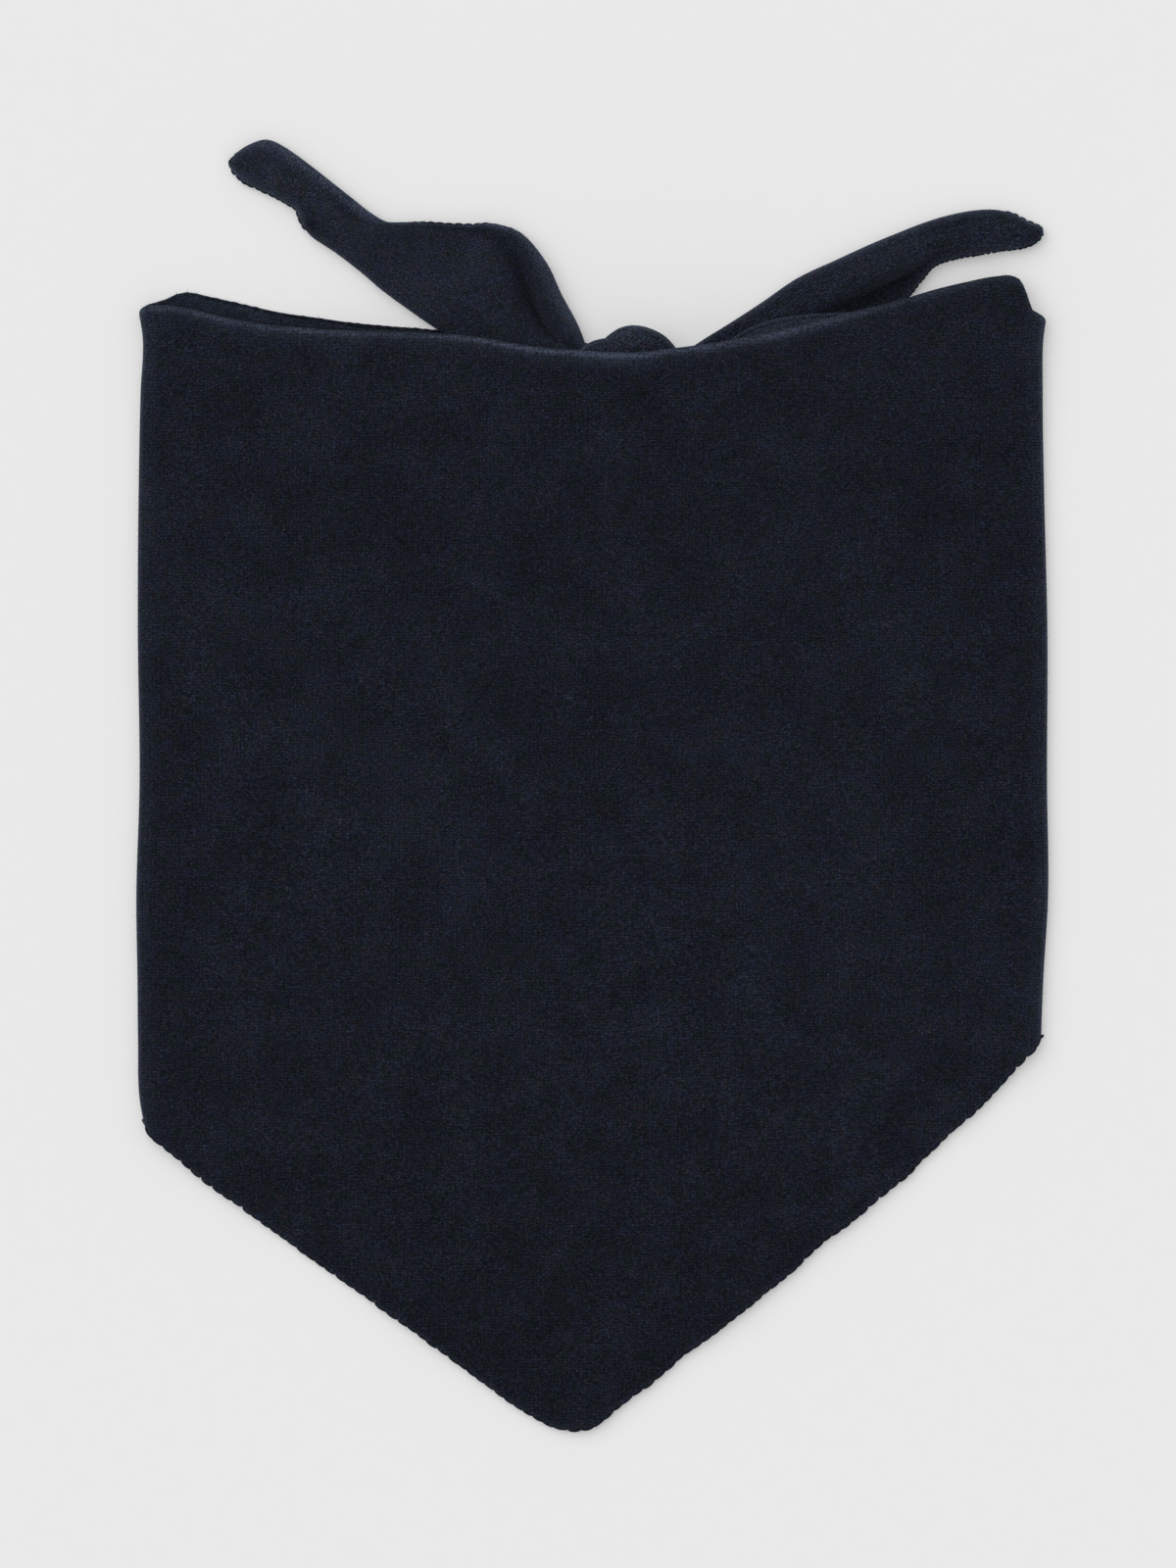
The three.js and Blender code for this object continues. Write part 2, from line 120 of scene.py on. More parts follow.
# The neck edge of each wing, from its side fold to the knot.
LEFT_WING_NECK = (
    # x, y
    (-152.4, 164.0), (-147, 165.2), (-140, 168.2), (-131, 166.8), (-119, 164.2), (-107, 161.5),
    (-94, 159.6), (-82, 157.8), (-69, 156.5), (-56, 155.7), (-50, 154.7), (-44, 149.6), (-36, 144.2),
    (-27, 139.4), (-18.3, 136.6), (-12, 136),
)
RIGHT_WING_NECK = (
    # x, y
    (152.4, 160.6), (147.4, 161.5), (140, 164.5), (126, 166), (112, 164.2), (101, 162),
    (92, 161.4), (82, 160.9), (72, 160.4), (59, 157.8), (51, 154.2), (47, 151.4), (43.4, 147.2),
    (39, 141.8), (32, 136.5),
)
LEFT, RIGHT = -1, 1
WINGS = {
    # slope of the folded diagonal, its foot at the fold, and the strip drawn into the knot
    LEFT: {"slope": 0.68, "foot": -117.2, "x": -14.0, "lower": 116.0, "neck": LEFT_WING_NECK},
    RIGHT: {"slope": 0.86, "foot": -87.6, "x": 40.5, "lower": 118.0, "neck": RIGHT_WING_NECK},
}
WING_DRAWN_IN = {LEFT: 0.0, RIGHT: 8.0}     # how far a band's cloth runs on into the knot
CROWN = 152.4                   # how far out the top layer turns into a side fold
FOLD_HEIGHT = 5.0
FOLD_OPENING = 2.2
FOLD_OPENING_REACH = 25.0
FOLD_PUFF_REACH = 12.0
LAYER_GAP = 0.45
BACK_STEP = (-2.0, 30.0)        # where the panel comes down below a wing's edge
NECK_LIFT = 2.1                 # how far the panel stands up to make room for the neck edge's roll
NECK_LIFT_REACH = 30.0
FRONT_ROLL, WING_ROLL = 150.0, 64.0
PLEATS = 4

KNOT = Vector((13.0, 140.0, 0.0))
KNOT_SWELL = {"height": 14.2, "half_width": 34.0, "half_length": 25.0, "falloff": 2.2}
GATHER_FILL = 0.66

# Soft ridges and troughs of the front panel: each runs from one point to another.
RELIEF = (
    # from x, y, to x, y, width, height
    (-122, 128, -76, 106, 15, 0.9),
    (-76, 106, -12, 58, 17, 1.0),
    (-70, 66, -4, 40, 11, -0.8),
    (-4, 40, 72, 54, 12, -0.8),
    (72, 54, 84, 84, 10, -0.6),
    (-8, 118, -48, 44, 12, 0.6),
    (34, 122, 66, 62, 11, 0.5),
    (96, 132, 128, 40, 13, 0.5),
    (-138, 110, -143, -50, 8, 0.5),
    (-112, -96, -38, -172, 15, -0.5),
    (60, -40, 112, -96, 17, 0.5),
    (-30, -60, -10, -170, 20, 0.4),
    (132, 60, 138, -40, 9, 0.4),
)

# The tails, each folded in two along its length. A ridge and a valley run along the upper layer,
# each at its share of the width; step is how far the layer comes down past the valley. Wrap is 1
# where the upper layer closes over the lower one as a smooth fold, and 0 where both edges show.
LEFT_TAIL = (
    # fold x, fold y, open x, open y, height, ridge, at, valley, at, step, wrap
    (-9.6, 137.0, 1.6, 143.4, 6.0, 0, 0.80, 0, 0.55, 0, 1),
    (-14.0, 138.6, -1.4, 147.0, 6.4, 0, 0.80, 0, 0.55, 0, 1),
    (-20.5, 142.4, -3.2, 152.6, 6.0, 1.8, 0.82, 1.5, 0.60, 0, 1),
    (-35, 146.4, -5.6, 158.2, 5.4, 2.4, 0.84, 1.8, 0.66, 0, 1),
    (-51, 154.2, -10.6, 167.4, 5.2, 2.6, 0.88, 2.0, 0.75, 0, 1),
    (-63.5, 162.6, -15.4, 177.6, 5.0, 2.2, 0.91, 1.8, 0.81, 0, 1),
    (-72, 168.8, -23.8, 187.4, 4.8, 1.4, 0.95, 1.2, 0.86, 0, 0.5),
    (-76, 172.2, -34, 190.9, 4.8, 0.8, 0.95, 0.8, 0.87, 0, 0.15),
    (-80, 175.6, -43, 190.7, 4.8, 0.4, 0.95, 0.4, 0.88, 0, 0),
    (-87.5, 181.4, -57, 191.5, 4.8, 0.3, 0.60, 0.3, 0.88, 0, 0),
    (-92.6, 184.8, -67.0, 191.2, 4.9, 0.5, 0.55, 0.4, 0.84, 0, 0.3),
    (-95.8, 187.0, -71.0, 191.9, 5.1, 0.8, 0.48, 0.5, 0.78, 0, 0.7),
    (-98.4, 189.9, -76.4, 195.4, 5.4, 1.0, 0.45, 0.6, 0.75, 0, 1),
    (-100.2, 193.3, -81.6, 199.6, 5.3, 0.9, 0.45, 0.5, 0.75, 0, 1),
    (-101.6, 196.5, -87.6, 204.4, 5.1, 0.7, 0.46, 0.4, 0.75, 0, 1),
    (-106.0, 199.2, -95, 210.3, 4.8, 0.4, 0.50, 0.2, 0.75, 0, 1),
    (-113.0, 202.8, -104.2, 217.0, 4.4, 0.2, 0.50, 0.1, 0.75, 0, 1),
    (-118.9, 205.5, -110.8, 220.0, 4.2, 0, 0.50, 0, 0.75, 0, 1),
    (-122.6, 209.0, -116.7, 218.3, 3.9, 0, 0.50, 0, 0.75, 0, 1),
    (-123.9, 212.1, -121.4, 215.2, 3.5, 0, 0.50, 0, 0.75, 0, 1),
)
RIGHT_TAIL = (
    # fold x, fold y, open x, open y, height, ridge, at, valley, at, step, wrap
    (23.5, 142.6, 28.6, 136.6, 3.6, 0, 0.40, 0, 0.68, 0, 0),
    (31.5, 147.6, 38.0, 140.0, 3.9, 0, 0.40, 0, 0.68, 0, 0),
    (38.4, 152.2, 45.2, 142.4, 3.9, 0, 0.40, 0, 0.68, 0, 0),
    (47.5, 157.8, 57, 145.6, 4.0, 0, 0.40, 0, 0.68, 0, 0),
    (57.5, 164.3, 70.5, 149.6, 4.4, 0.4, 0.40, 0, 0.68, 0, 0),
    (69.8, 172.7, 84, 154.6, 5.0, 1.2, 0.42, 0.6, 0.66, 0.8, 0),
    (83, 178.9, 97, 160.6, 6.0, 1.6, 0.42, 1.2, 0.66, 2.2, 0),
    (95, 184.4, 107.2, 165.8, 6.2, 1.4, 0.42, 1.4, 0.66, 2.4, 0),
    (104.2, 188.2, 112.2, 171.6, 6.0, 1.0, 0.45, 1.2, 0.74, 2.0, 0),
    (112, 191.3, 117.0, 176.8, 5.6, 0.8, 0.50, 0.6, 0.80, 0.8, 0),
    (120.5, 194.0, 124, 179.2, 5.0, 0.6, 0.50, 0.2, 0.80, 0, 0),
    (129.2, 195.8, 132, 180.6, 4.8, 0.4, 0.50, 0, 0.80, 0, 0),
    (137.0, 196.2, 140, 182.0, 4.6, 0.3, 0.50, 0, 0.80, 0, 0),
    (143.2, 194.8, 147, 182.9, 4.4, 0, 0.50, 0, 0.80, 0, 0),
    (148.6, 192.2, 151.3, 184.8, 4.2, 0, 0.50, 0, 0.80, 0, 0),
    (153.4, 190.4, 153.6, 187.0, 3.7, 0, 0.50, 0, 0.80, 0, 0),
)
RIDGE_WIDE, VALLEY_WIDE = {LEFT: 0.10, RIGHT: 0.17}, {LEFT: 0.075, RIGHT: 0.07}

# Small dimples where a tail turns sharply: place, radius and depth.
PINCHES = ((-95.6, 190.6, 2.9, 1.3), (106.5, 172.5, 2.2, 0.5))

# Each strand of the knot: from its wing, through the knot and out to its tail.
LEFT_STRAND = (
    # x, y, z, width, height
    (-31, -14.2, 5.6, 21, 11.6),
    (-24, -10.6, 5.0, 15, 10),
    (-16, -6.4, 4.2, 11.5, 8.6),
    (-8, -6, 6.2, 11, 8),
    (0, -8, 10.8, 11, 8),
    (8, -10.4, 7.6, 11, 8),
    (13.5, -8.4, 4.2, 11, 8),
    (16.2, -1.5, 4.2, 11, 8.4),
    (12.4, 4.2, 6.6, 10.5, 9.2),
    (7.0, 8.4, 10.0, 12.5, 9.8),
    (-0.5, 9.0, 11.6, 13.8, 9.8),
    (-8, 5.6, 7.4, 11.5, 8.4),
    (-15, 4.8, 4.4, 11.5, 8.4),
    (-20.5, 6.0, 3.6, 13, 7),
    (-25.6, 8.6, 3.2, 15, 6),
)
RIGHT_STRAND = (
    # x, y, z, width, height
    (31, -9, 6.6, 24, 11),
    (24, -8.4, 7.2, 18, 10),
    (16, -6.4, 10.2, 12, 8),
    (8, -6.4, 8.4, 11, 8),
    (0, -8.6, 4.2, 11, 8.4),
    (-8, -10.4, 7.4, 11, 8),
    (-13.5, -8.4, 10.6, 11, 8),
    (-16.6, -1.2, 11.2, 10.5, 8),
    (-12.6, 5.4, 11.2, 9.5, 7.4),
    (-6.5, 7.4, 8.4, 9.5, 7.4),
    (0, 6.4, 4.4, 11, 8.2),
    (8, 2.6, 7.8, 10.5, 7.8),
    (15, 1.4, 8.2, 10, 7.2),
    (21.5, 2.6, 4.8, 9.5, 5.4),
    (29, 4.8, 2.4, 9.5, 4.0),
)

# The flat triangle that the bandana is knitted as
CUT_LENGTH, CUT_HEIGHT = 983.0, 379.0
KNOT_REACH = 0.34               # the share of each half that lies in a tail


def mix(a, b, share):
    return a + (b - a) * share


def ease(start, end, value):
    share = min(1.0, max(0.0, (value - start) / (end - start)))
    return share * share * (3 - 2 * share)


class Track:
    """A smooth line through one column of a table, read at any place on its key column."""

    def __init__(self, rows, key, column):
        pairs = sorted((row[key], row[column]) for row in rows)
        self.places = [pair[0] for pair in pairs]
        self.values = [pair[1] for pair in pairs]
        steps = [b - a for a, b in zip(self.places, self.places[1:])]
        rises = [(b - a) / step for a, b, step in zip(self.values, self.values[1:], steps)]
        inner = [
            (rises[i] * steps[i + 1] + rises[i + 1] * steps[i]) / (steps[i] + steps[i + 1])
            for i in range(len(rises) - 1)
        ]
        self.slopes = [rises[0], *inner, rises[-1]]

    def __call__(self, place):
        places, values, slopes = self.places, self.values, self.slopes
        place = min(places[-1], max(places[0], place))
        i = next((k for k in range(len(places) - 1) if place <= places[k + 1]), len(places) - 2)
        step = places[i + 1] - places[i]
        s = (place - places[i]) / step
        return (
            values[i] * (1 + 2 * s) * (1 - s) ** 2
            + slopes[i] * step * s * (1 - s) ** 2
            + values[i + 1] * s * s * (3 - 2 * s)
            + slopes[i + 1] * step * s * s * (s - 1)
        )


def rows_with_index(rows):
    return [(index, *row) for index, row in enumerate(rows)]


NECK_LINE, LOWER_LINE = Track(FRONT_SECTIONS, 0, 1), Track(FRONT_SECTIONS, 0, 2)
FOLD_LINE = {LEFT: Track(SIDE_FOLDS, 0, 1), RIGHT: Track(SIDE_FOLDS, 0, 2)}
FOLD_NECK = {LEFT: Track(FOLD_ENDS, 0, 1), RIGHT: Track(FOLD_ENDS, 0, 3)}
FOLD_LOWER = {LEFT: Track(FOLD_ENDS, 0, 2), RIGHT: Track(FOLD_ENDS, 0, 4)}
WING_NECK = {side: Track(wing["neck"], 0, 1) for side, wing in WINGS.items()}


def wing_lower_edge(side, x):
    """The front's diagonal folded back, drawn up towards the knot by a cube."""
    wing = WINGS[side]
    span = CROWN - side * wing["x"]
    gone = min(span, max(0.0, CROWN - side * x))
    drawn_up = wing["lower"] - wing["foot"] - wing["slope"] * span
    return wing["foot"] + wing["slope"] * gone + drawn_up * (gone / span) ** 3


def knot_swell(x, y):
    swell = KNOT_SWELL
    reach = math.hypot((x - KNOT.x) / swell["half_width"], (y - KNOT.y) / swell["half_length"])
    return swell["height"] / (1 + (reach / swell["falloff"]) ** 4)


def backed_edge(x):
    """The lower edge of what lies behind the panel: the left band, the knot, then the right band."""
    ends = WINGS[LEFT], WINGS[RIGHT]
    between = ease(ends[0]["x"], ends[1]["x"], x)
    if x < ends[0]["x"]:
        return wing_lower_edge(LEFT, x)
    if x > ends[1]["x"]:
        return wing_lower_edge(RIGHT, x)
    return mix(ends[0]["lower"], ends[1]["lower"], between)


def backing(x, y):
    """1 where a band lies behind the front panel, easing to 0 below its lower edge."""
    window = 16.0
    edges = [backed_edge(x + step * window) for step in (-1, -0.5, 0, 0.5, 1)]
    rise = (edges[4] - edges[0]) / (2 * window)
    below = (sum(edges) / 5 - y) / math.hypot(1, rise)
    return 1 - ease(*BACK_STEP, below)


def relief(x, y):
    total = 0.0
    for ax, ay, bx, by, width, height in RELIEF:
        along_x, along_y = bx - ax, by - ay
        length = math.hypot(along_x, along_y)
        share = ((x - ax) * along_x + (y - ay) * along_y) / length ** 2
        across = abs((x - ax) * along_y - (y - ay) * along_x) / length
        beyond = max(0.0, -share, share - 1) * length
        total += height * math.exp(-(across / width) ** 2 - (beyond / width) ** 2)
    return total


def fold_height(y, neck):
    return FOLD_HEIGHT + FOLD_OPENING * math.exp(-((neck - y) / FOLD_OPENING_REACH) ** 2)


def unevenness(x, y):
    """The slow waves that a knit keeps when it is laid out by hand."""
    slow = noise.noise(Vector((x / 55, y / 62, 3.7)))
    quick = noise.noise(Vector((x / 17, y / 19, 8.1)))
    return 0.35 * slow + 0.09 * quick


# ---------------------------------------------------------------- the knitted cloth's form

RIDE_LINE = Track([(row[2], row[3]) for row in RIGHT_TAIL], 0, 1)
RIDE_HEIGHT = 5.0
RIDE_OUT = (97.0, 114.0)        # where the right band comes down off the tail
RELIEF_ROOM = 0.8
GATHER_ROOM, GATHER_REACH = 0.9, 95.0


def ride_over_tail(side, x, y):
    """The right band's neck edge lies on the right tail near the knot."""
    if side == LEFT:
        return 0.0
    edge = RIDE_LINE(x)
    return RIDE_HEIGHT * ease(edge - 18, edge - 9, y) * (1 - ease(*RIDE_OUT, x))


def gather_room(x, y):
    reach = math.hypot(x - KNOT.x, (y - KNOT.y) / 1.2) / GATHER_REACH
    return GATHER_ROOM * math.exp(-reach * reach)


def fold_station(side, y, neck, turn, thickness):
    radius = (fold_height(y, neck) - thickness) / 2
    angle = math.radians(turn)
    outermost = FOLD_LINE[side](y)
    return Vector((
        outermost - side * (thickness / 2 + radius * (1 - math.cos(angle))),
        y,
        thickness / 2 + radius * (1 + math.sin(angle)),
    ))


HEM_LIFT, HEM_REACH = 2.3, 16.0


def hem_lift(x, y):
    """A knitted hem curls: it stands a little off the table, more in some places than others."""
    uneven = 0.8 + 0.6 * noise.noise(Vector((x / 21, 5.5, 2.2)))
    inside = (1 - ease(CROWN - 16, CROWN - 2, abs(x)))
    return HEM_LIFT * uneven * inside * (1 - ease(0, HEM_REACH, y - LOWER_LINE(x)))


def panel_point(x, y, neck, thickness):
    side = LEFT if x < 0 else RIGHT
    crown = fold_station(side, y, neck, 90, thickness)
    x += (crown.x - side * CROWN) * ease(CROWN - 20, CROWN, abs(x))
    near_fold = math.exp(-(max(0.0, abs(crown.x) - abs(x)) / FOLD_PUFF_REACH) ** 2)
    backed = backing(x, y)
    waves = unevenness(x, y)
    flat = (
        backed * (thickness + LAYER_GAP + gather_room(x, y))
        + knot_swell(x, y)
        + NECK_LIFT * (1 - ease(2, NECK_LIFT_REACH, neck - y))
        + max(0.0, waves, relief(x, y) + waves + RELIEF_ROOM * backed)
        + hem_lift(x, y)
    )
    over_fold = crown.z - thickness / 2
    return Vector((x, y, thickness / 2 + mix(flat, max(flat, over_fold), near_fold)))


def wing_point(side, x, y, share, thickness):
    wing = WINGS[side]
    span = CROWN - side * wing["x"]
    along = (CROWN - side * x) / span
    drift = 0.9 * noise.noise(Vector((x / 40, side * 9.0, 1.3)))
    ridge = 0.5 - 0.5 * math.cos(math.tau * (PLEATS * share + drift))
    envelope = math.sin(math.pi / 2 * min(1.0, 6 * share * (1 - share)))
    gathered = (0.34 + 0.54 * ridge) * ease(0, 0.75, along) * envelope * knot_swell(x, y)
    rippled = gather_room(x, y) * ridge * envelope
    waves = max(0.0, unevenness(x, y)) * (1 - ease(CROWN - 18, CROWN, abs(x)))
    lift = max(ride_over_tail(side, x, y), gathered) + rippled + waves
    return Vector((x, y, thickness / 2 + lift))


def edge_wave(x):
    """The two diagonals aren't cut straight; the right one is the more uneven."""
    inside = 1 - ease(128, 148, abs(x))
    waves = noise.noise(Vector((x / 11, 2.3, 9.1))) + 0.7 * noise.noise(Vector((x / 5.5, 7.7, 1.9)))
    return inside * mix(0.35, 0.9, ease(-5, 20, x)) * waves


# Painted highlights: a thin one along the lower edge, and one round each side fold.
LOWER_HIGHLIGHT, LOWER_HIGHLIGHT_REACH = 0.22, 1.1
LOWER_SHADE = 0.2               # the cloth is coloured darker towards the point
SIDE_HIGHLIGHT, SIDE_HIGHLIGHT_REACH = {LEFT: 0.34, RIGHT: 0.62}, 1.5


def side_highlight(side, turn):
    """Painted highlight for the nap that stands up round a side fold, strongest at its outermost line."""
    drop = (FOLD_HEIGHT / 2) * (1 - math.cos(math.radians(turn)))
    return SIDE_HIGHLIGHT[side] * math.exp(-(drop / SIDE_HIGHLIGHT_REACH) ** 2)


def cloth_columns(thickness):
    """Every column of the cloth: out along the left band, over the front, in along the right."""
    columns = []

    # Each column's nap values set its painted highlight along the neck edge and round a side fold; the bands behind
    # the front are painted lighter all over, against the shade they lie in.
    def wing(side, x):
        neck, lower = WING_NECK[side](side * abs(x) if x * side > 0 else x), wing_lower_edge(side, x)
        gone = CROWN - side * x
        flat_lower = WINGS[side]["foot"] + WINGS[side]["slope"] * gone
        return {
            "neck": neck, "lower": lower, "flat": (164.0, min(flat_lower, 120.0)), "roll": WING_ROLL,
            "nap": 0.7 if side == RIGHT else 0.4, "highlight_reach": 1.6 if side == RIGHT else 1.2,
            "side_highlight": mix(0.62, 0.24, ease(84, 110, x)) if side == RIGHT else 0.17,
            "place": lambda y, share: wing_point(side, x, y, share, thickness),
        }

    def fold(side, turn):
        neck, lower = FOLD_NECK[side](turn), FOLD_LOWER[side](turn)
        return {
            "neck": neck, "lower": lower, "flat": (neck, lower),
            "roll": mix(WING_ROLL, FRONT_ROLL, (turn + 90) / 180), "nap": 0.7, "highlight_reach": 1.4,
            "side_highlight": side_highlight(side, turn),
            "place": lambda y, share: fold_station(side, y, neck, turn, thickness),
        }

    def front(x):
        neck, lower = NECK_LINE(x), LOWER_LINE(x) + edge_wave(x)
        return {
            "neck": neck, "lower": lower, "flat": (neck, lower), "roll": FRONT_ROLL,
            "nap": (mix(mix(0.8, 0.68, ease(-60, -10, x)), 0.36, ease(0, 60, x)) + 0.8 * math.exp(-((x - 5) / 34) ** 2)
                    + 0.35 * math.exp(-((x - 66) / 26) ** 2)),
            "highlight_reach": 0.75 + 0.6 * math.exp(-((x - 66) / 26) ** 2),
            "side_highlight": 0.12 * math.exp(-((CROWN - abs(x)) / 2.5) ** 2),
            "place": lambda y, share: panel_point(x, y, neck, thickness),
        }

    wing_count, fold_count, front_count = 40, 8, 150
    for side in (LEFT, RIGHT):
        end = WINGS[side]["x"] - side * WING_DRAWN_IN[side]
        band = [
            wing(side, mix(end, side * CROWN, step / wing_count)) for step in range(wing_count)
        ]
        turns = [fold(side, -90 + 180 * step / fold_count) for step in range(fold_count)]
        outside_in = band + turns
        if side == LEFT:
            columns += outside_in
            for step in range(front_count):
                share = step / (front_count - 1)
                columns.append(front(mix(-CROWN, CROWN, mix(share, ease(0, 1, share), 0.5))))
        else:
            columns += reversed(outside_in)
    return columns


ROLL_STEPS, BODY_STEPS = 9, 140
# The cloth's rows from its lower edge, at 0, to its neck roll, at 1: closest at both ends.
BODY_SHARES = [mix(step / BODY_STEPS, ease(0, BODY_STEPS, step), 0.7) for step in range(BODY_STEPS + 1)]


def cloth_rows(column, thickness, roll_radius):
    """Points up one column from its lower edge to the end of the neck edge's roll."""
    inset = roll_radius + thickness / 2
    top = column["neck"] - inset
    body = []
    for along in BODY_SHARES:
        y = mix(column["lower"], top, along)
        share = (column["neck"] - y) / (column["neck"] - column["lower"])
        body.append(column["place"](y, share))
    return body


def new_piece(name, bm, materials, body="root"):
    mesh = bpy.data.meshes.new(name)
    bm.to_mesh(mesh)
    bm.free()
    for material in materials:
        mesh.materials.append(material)
    mesh.shade_smooth()
    piece = bpy.data.objects.new(name, mesh)
    bpy.context.scene.collection.objects.link(piece)
    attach(piece, body)
    return piece


def woven_sheet(points, flat, painted_highlight, crease=None):
    """A grid of knitted cloth: where each point lies, where it lay flat, how strong its painted highlight near an edge
    is, and how much darker it is coloured: painted shade in a crease, or the front's darkening towards its point."""
    bm = bmesh.new()
    uv_layer = bm.loops.layers.uv.new("Flat cloth")
    painted_highlight_layer = bm.verts.layers.float.new("painted_highlight")
    painted_darkening_layer = bm.verts.layers.float.new("crease")
    across, up = len(points) - 1, len(points[0]) - 1
    bmesh.ops.create_grid(bm, x_segments=across, y_segments=up, size=0.5)
    if len(bm.verts) != (across + 1) * (up + 1):
        raise RuntimeError("the cloth's grid isn't the size of its points")
    place = {}
    for vert in bm.verts:
        place[vert] = (round((vert.co.x + 0.5) * across), round((vert.co.y + 0.5) * up))
    for face in bm.faces:
        for loop in face.loops:
            i, j = place[loop.vert]
            loop[uv_layer].uv = Vector(flat[i][j]) * MM
    for vert, (i, j) in place.items():
        vert.co = points[i][j] * MM
        vert[painted_highlight_layer] = painted_highlight[i][j]
        vert[painted_darkening_layer] = crease[i][j] if crease else 0.0
    bm.normal_update()
    return bm


def add_thickness(piece, thickness):
    wall = piece.modifiers.new("Cloth thickness", "SOLIDIFY")
    wall.thickness = thickness
    wall.offset = 0.0
    wall.use_even_offset = False
    wall.material_offset = 1
    wall.material_offset_rim = 2
    return piece


def cloth_body(thickness, roll_radius):
    """The cloth's points, its flat coordinates and the strength of its painted highlight near the neck and lower edges
    and round the side folds.
    """
    columns = cloth_columns(thickness)
    bodies = [cloth_rows(column, thickness, roll_radius) for column in columns]
    points, flat, painted_highlight = [], [], []
    reach = 0.0
    for i, (column, body) in enumerate(zip(columns, bodies)):
        before, after = bodies[max(0, i - 1)], bodies[min(len(bodies) - 1, i + 1)]
        across = (after[-1] - before[-1]).normalized()
        upward = (body[-1] - body[-2]).normalized()
        outward = across.cross(upward).normalized()
        wobble = noise.noise(Vector((reach / 26, 4.2, 0.7)))
        radius = roll_radius * (1 + 0.22 * wobble)
        full_turn = math.radians(column["roll"] * (1 + 0.16 * wobble))
        rolled = []
        for step in range(1, ROLL_STEPS + 1):
            turn = full_turn * step / ROLL_STEPS
            rolled.append(
                body[-1]
                + upward * (radius * math.sin(turn))
                - outward * (radius * (1 - math.cos(turn)))
            )
        if i:
            middle = len(body) // 2
            reach += (body[middle] - bodies[i - 1][middle]).length
        neck_flat, lower_flat = column["flat"]
        heights = [mix(lower_flat, neck_flat, along) for along in BODY_SHARES]
        heights += [
            neck_flat + radius * full_turn * step / ROLL_STEPS for step in range(1, ROLL_STEPS + 1)
        ]
        points.append(body + rolled)
        flat.append([(reach, height) for height in heights])
        # Painted highlight along the neck roll, thin along the lower edge, and round the side folds.
        highlight = column["nap"] * (
            1 + 0.5 * noise.noise(Vector((reach / 14, 0.4, 6.6)))
            + 0.5 * noise.noise(Vector((reach / 3.5, 8.4, 1.6)))
        )
        hanging = column["neck"] - column["lower"]
        painted_light_marks = [
            max(LOWER_HIGHLIGHT * math.exp(-(along * hanging / LOWER_HIGHLIGHT_REACH) ** 2), column["side_highlight"],
                0.76 * highlight * math.exp(-((1 - along) * hanging / column["highlight_reach"]) ** 2),
                0.2 * highlight * math.exp(-((1 - along) * hanging / 3.2) ** 2))
            for along in BODY_SHARES
        ]
        turns = [math.degrees(full_turn) * step / ROLL_STEPS for step in range(1, ROLL_STEPS + 1)]
        painted_light_marks += [
            max(column["side_highlight"], highlight * max(0.15, math.exp(-((turn - 16) / 32) ** 2)))
            for turn in turns
        ]
        painted_highlight.append(painted_light_marks)
    return points, flat, painted_highlight


# ---------------------------------------------------------------- the tails

TAIL_ROWS = 96
TAIL_FLAT_MIDDLE = 80.0         # where a tail's fold lies on the flat cloth
UNDER_STEPS, TURN_STEPS, OVER_STEPS, WRAP_STEPS = 22, 9, 34, 9
# How far in from each side the painted highlight for the lifted nap reaches, in millimetres, and how strongly.
TAIL_HIGHLIGHT = {
    "fold": 1.7, "wrap": 2.8, "open_edge": 1.0,
    "fold_share": {LEFT: 0.45, RIGHT: 0.6}, "wrap_share": {LEFT: 0.6, RIGHT: 0.25},
}


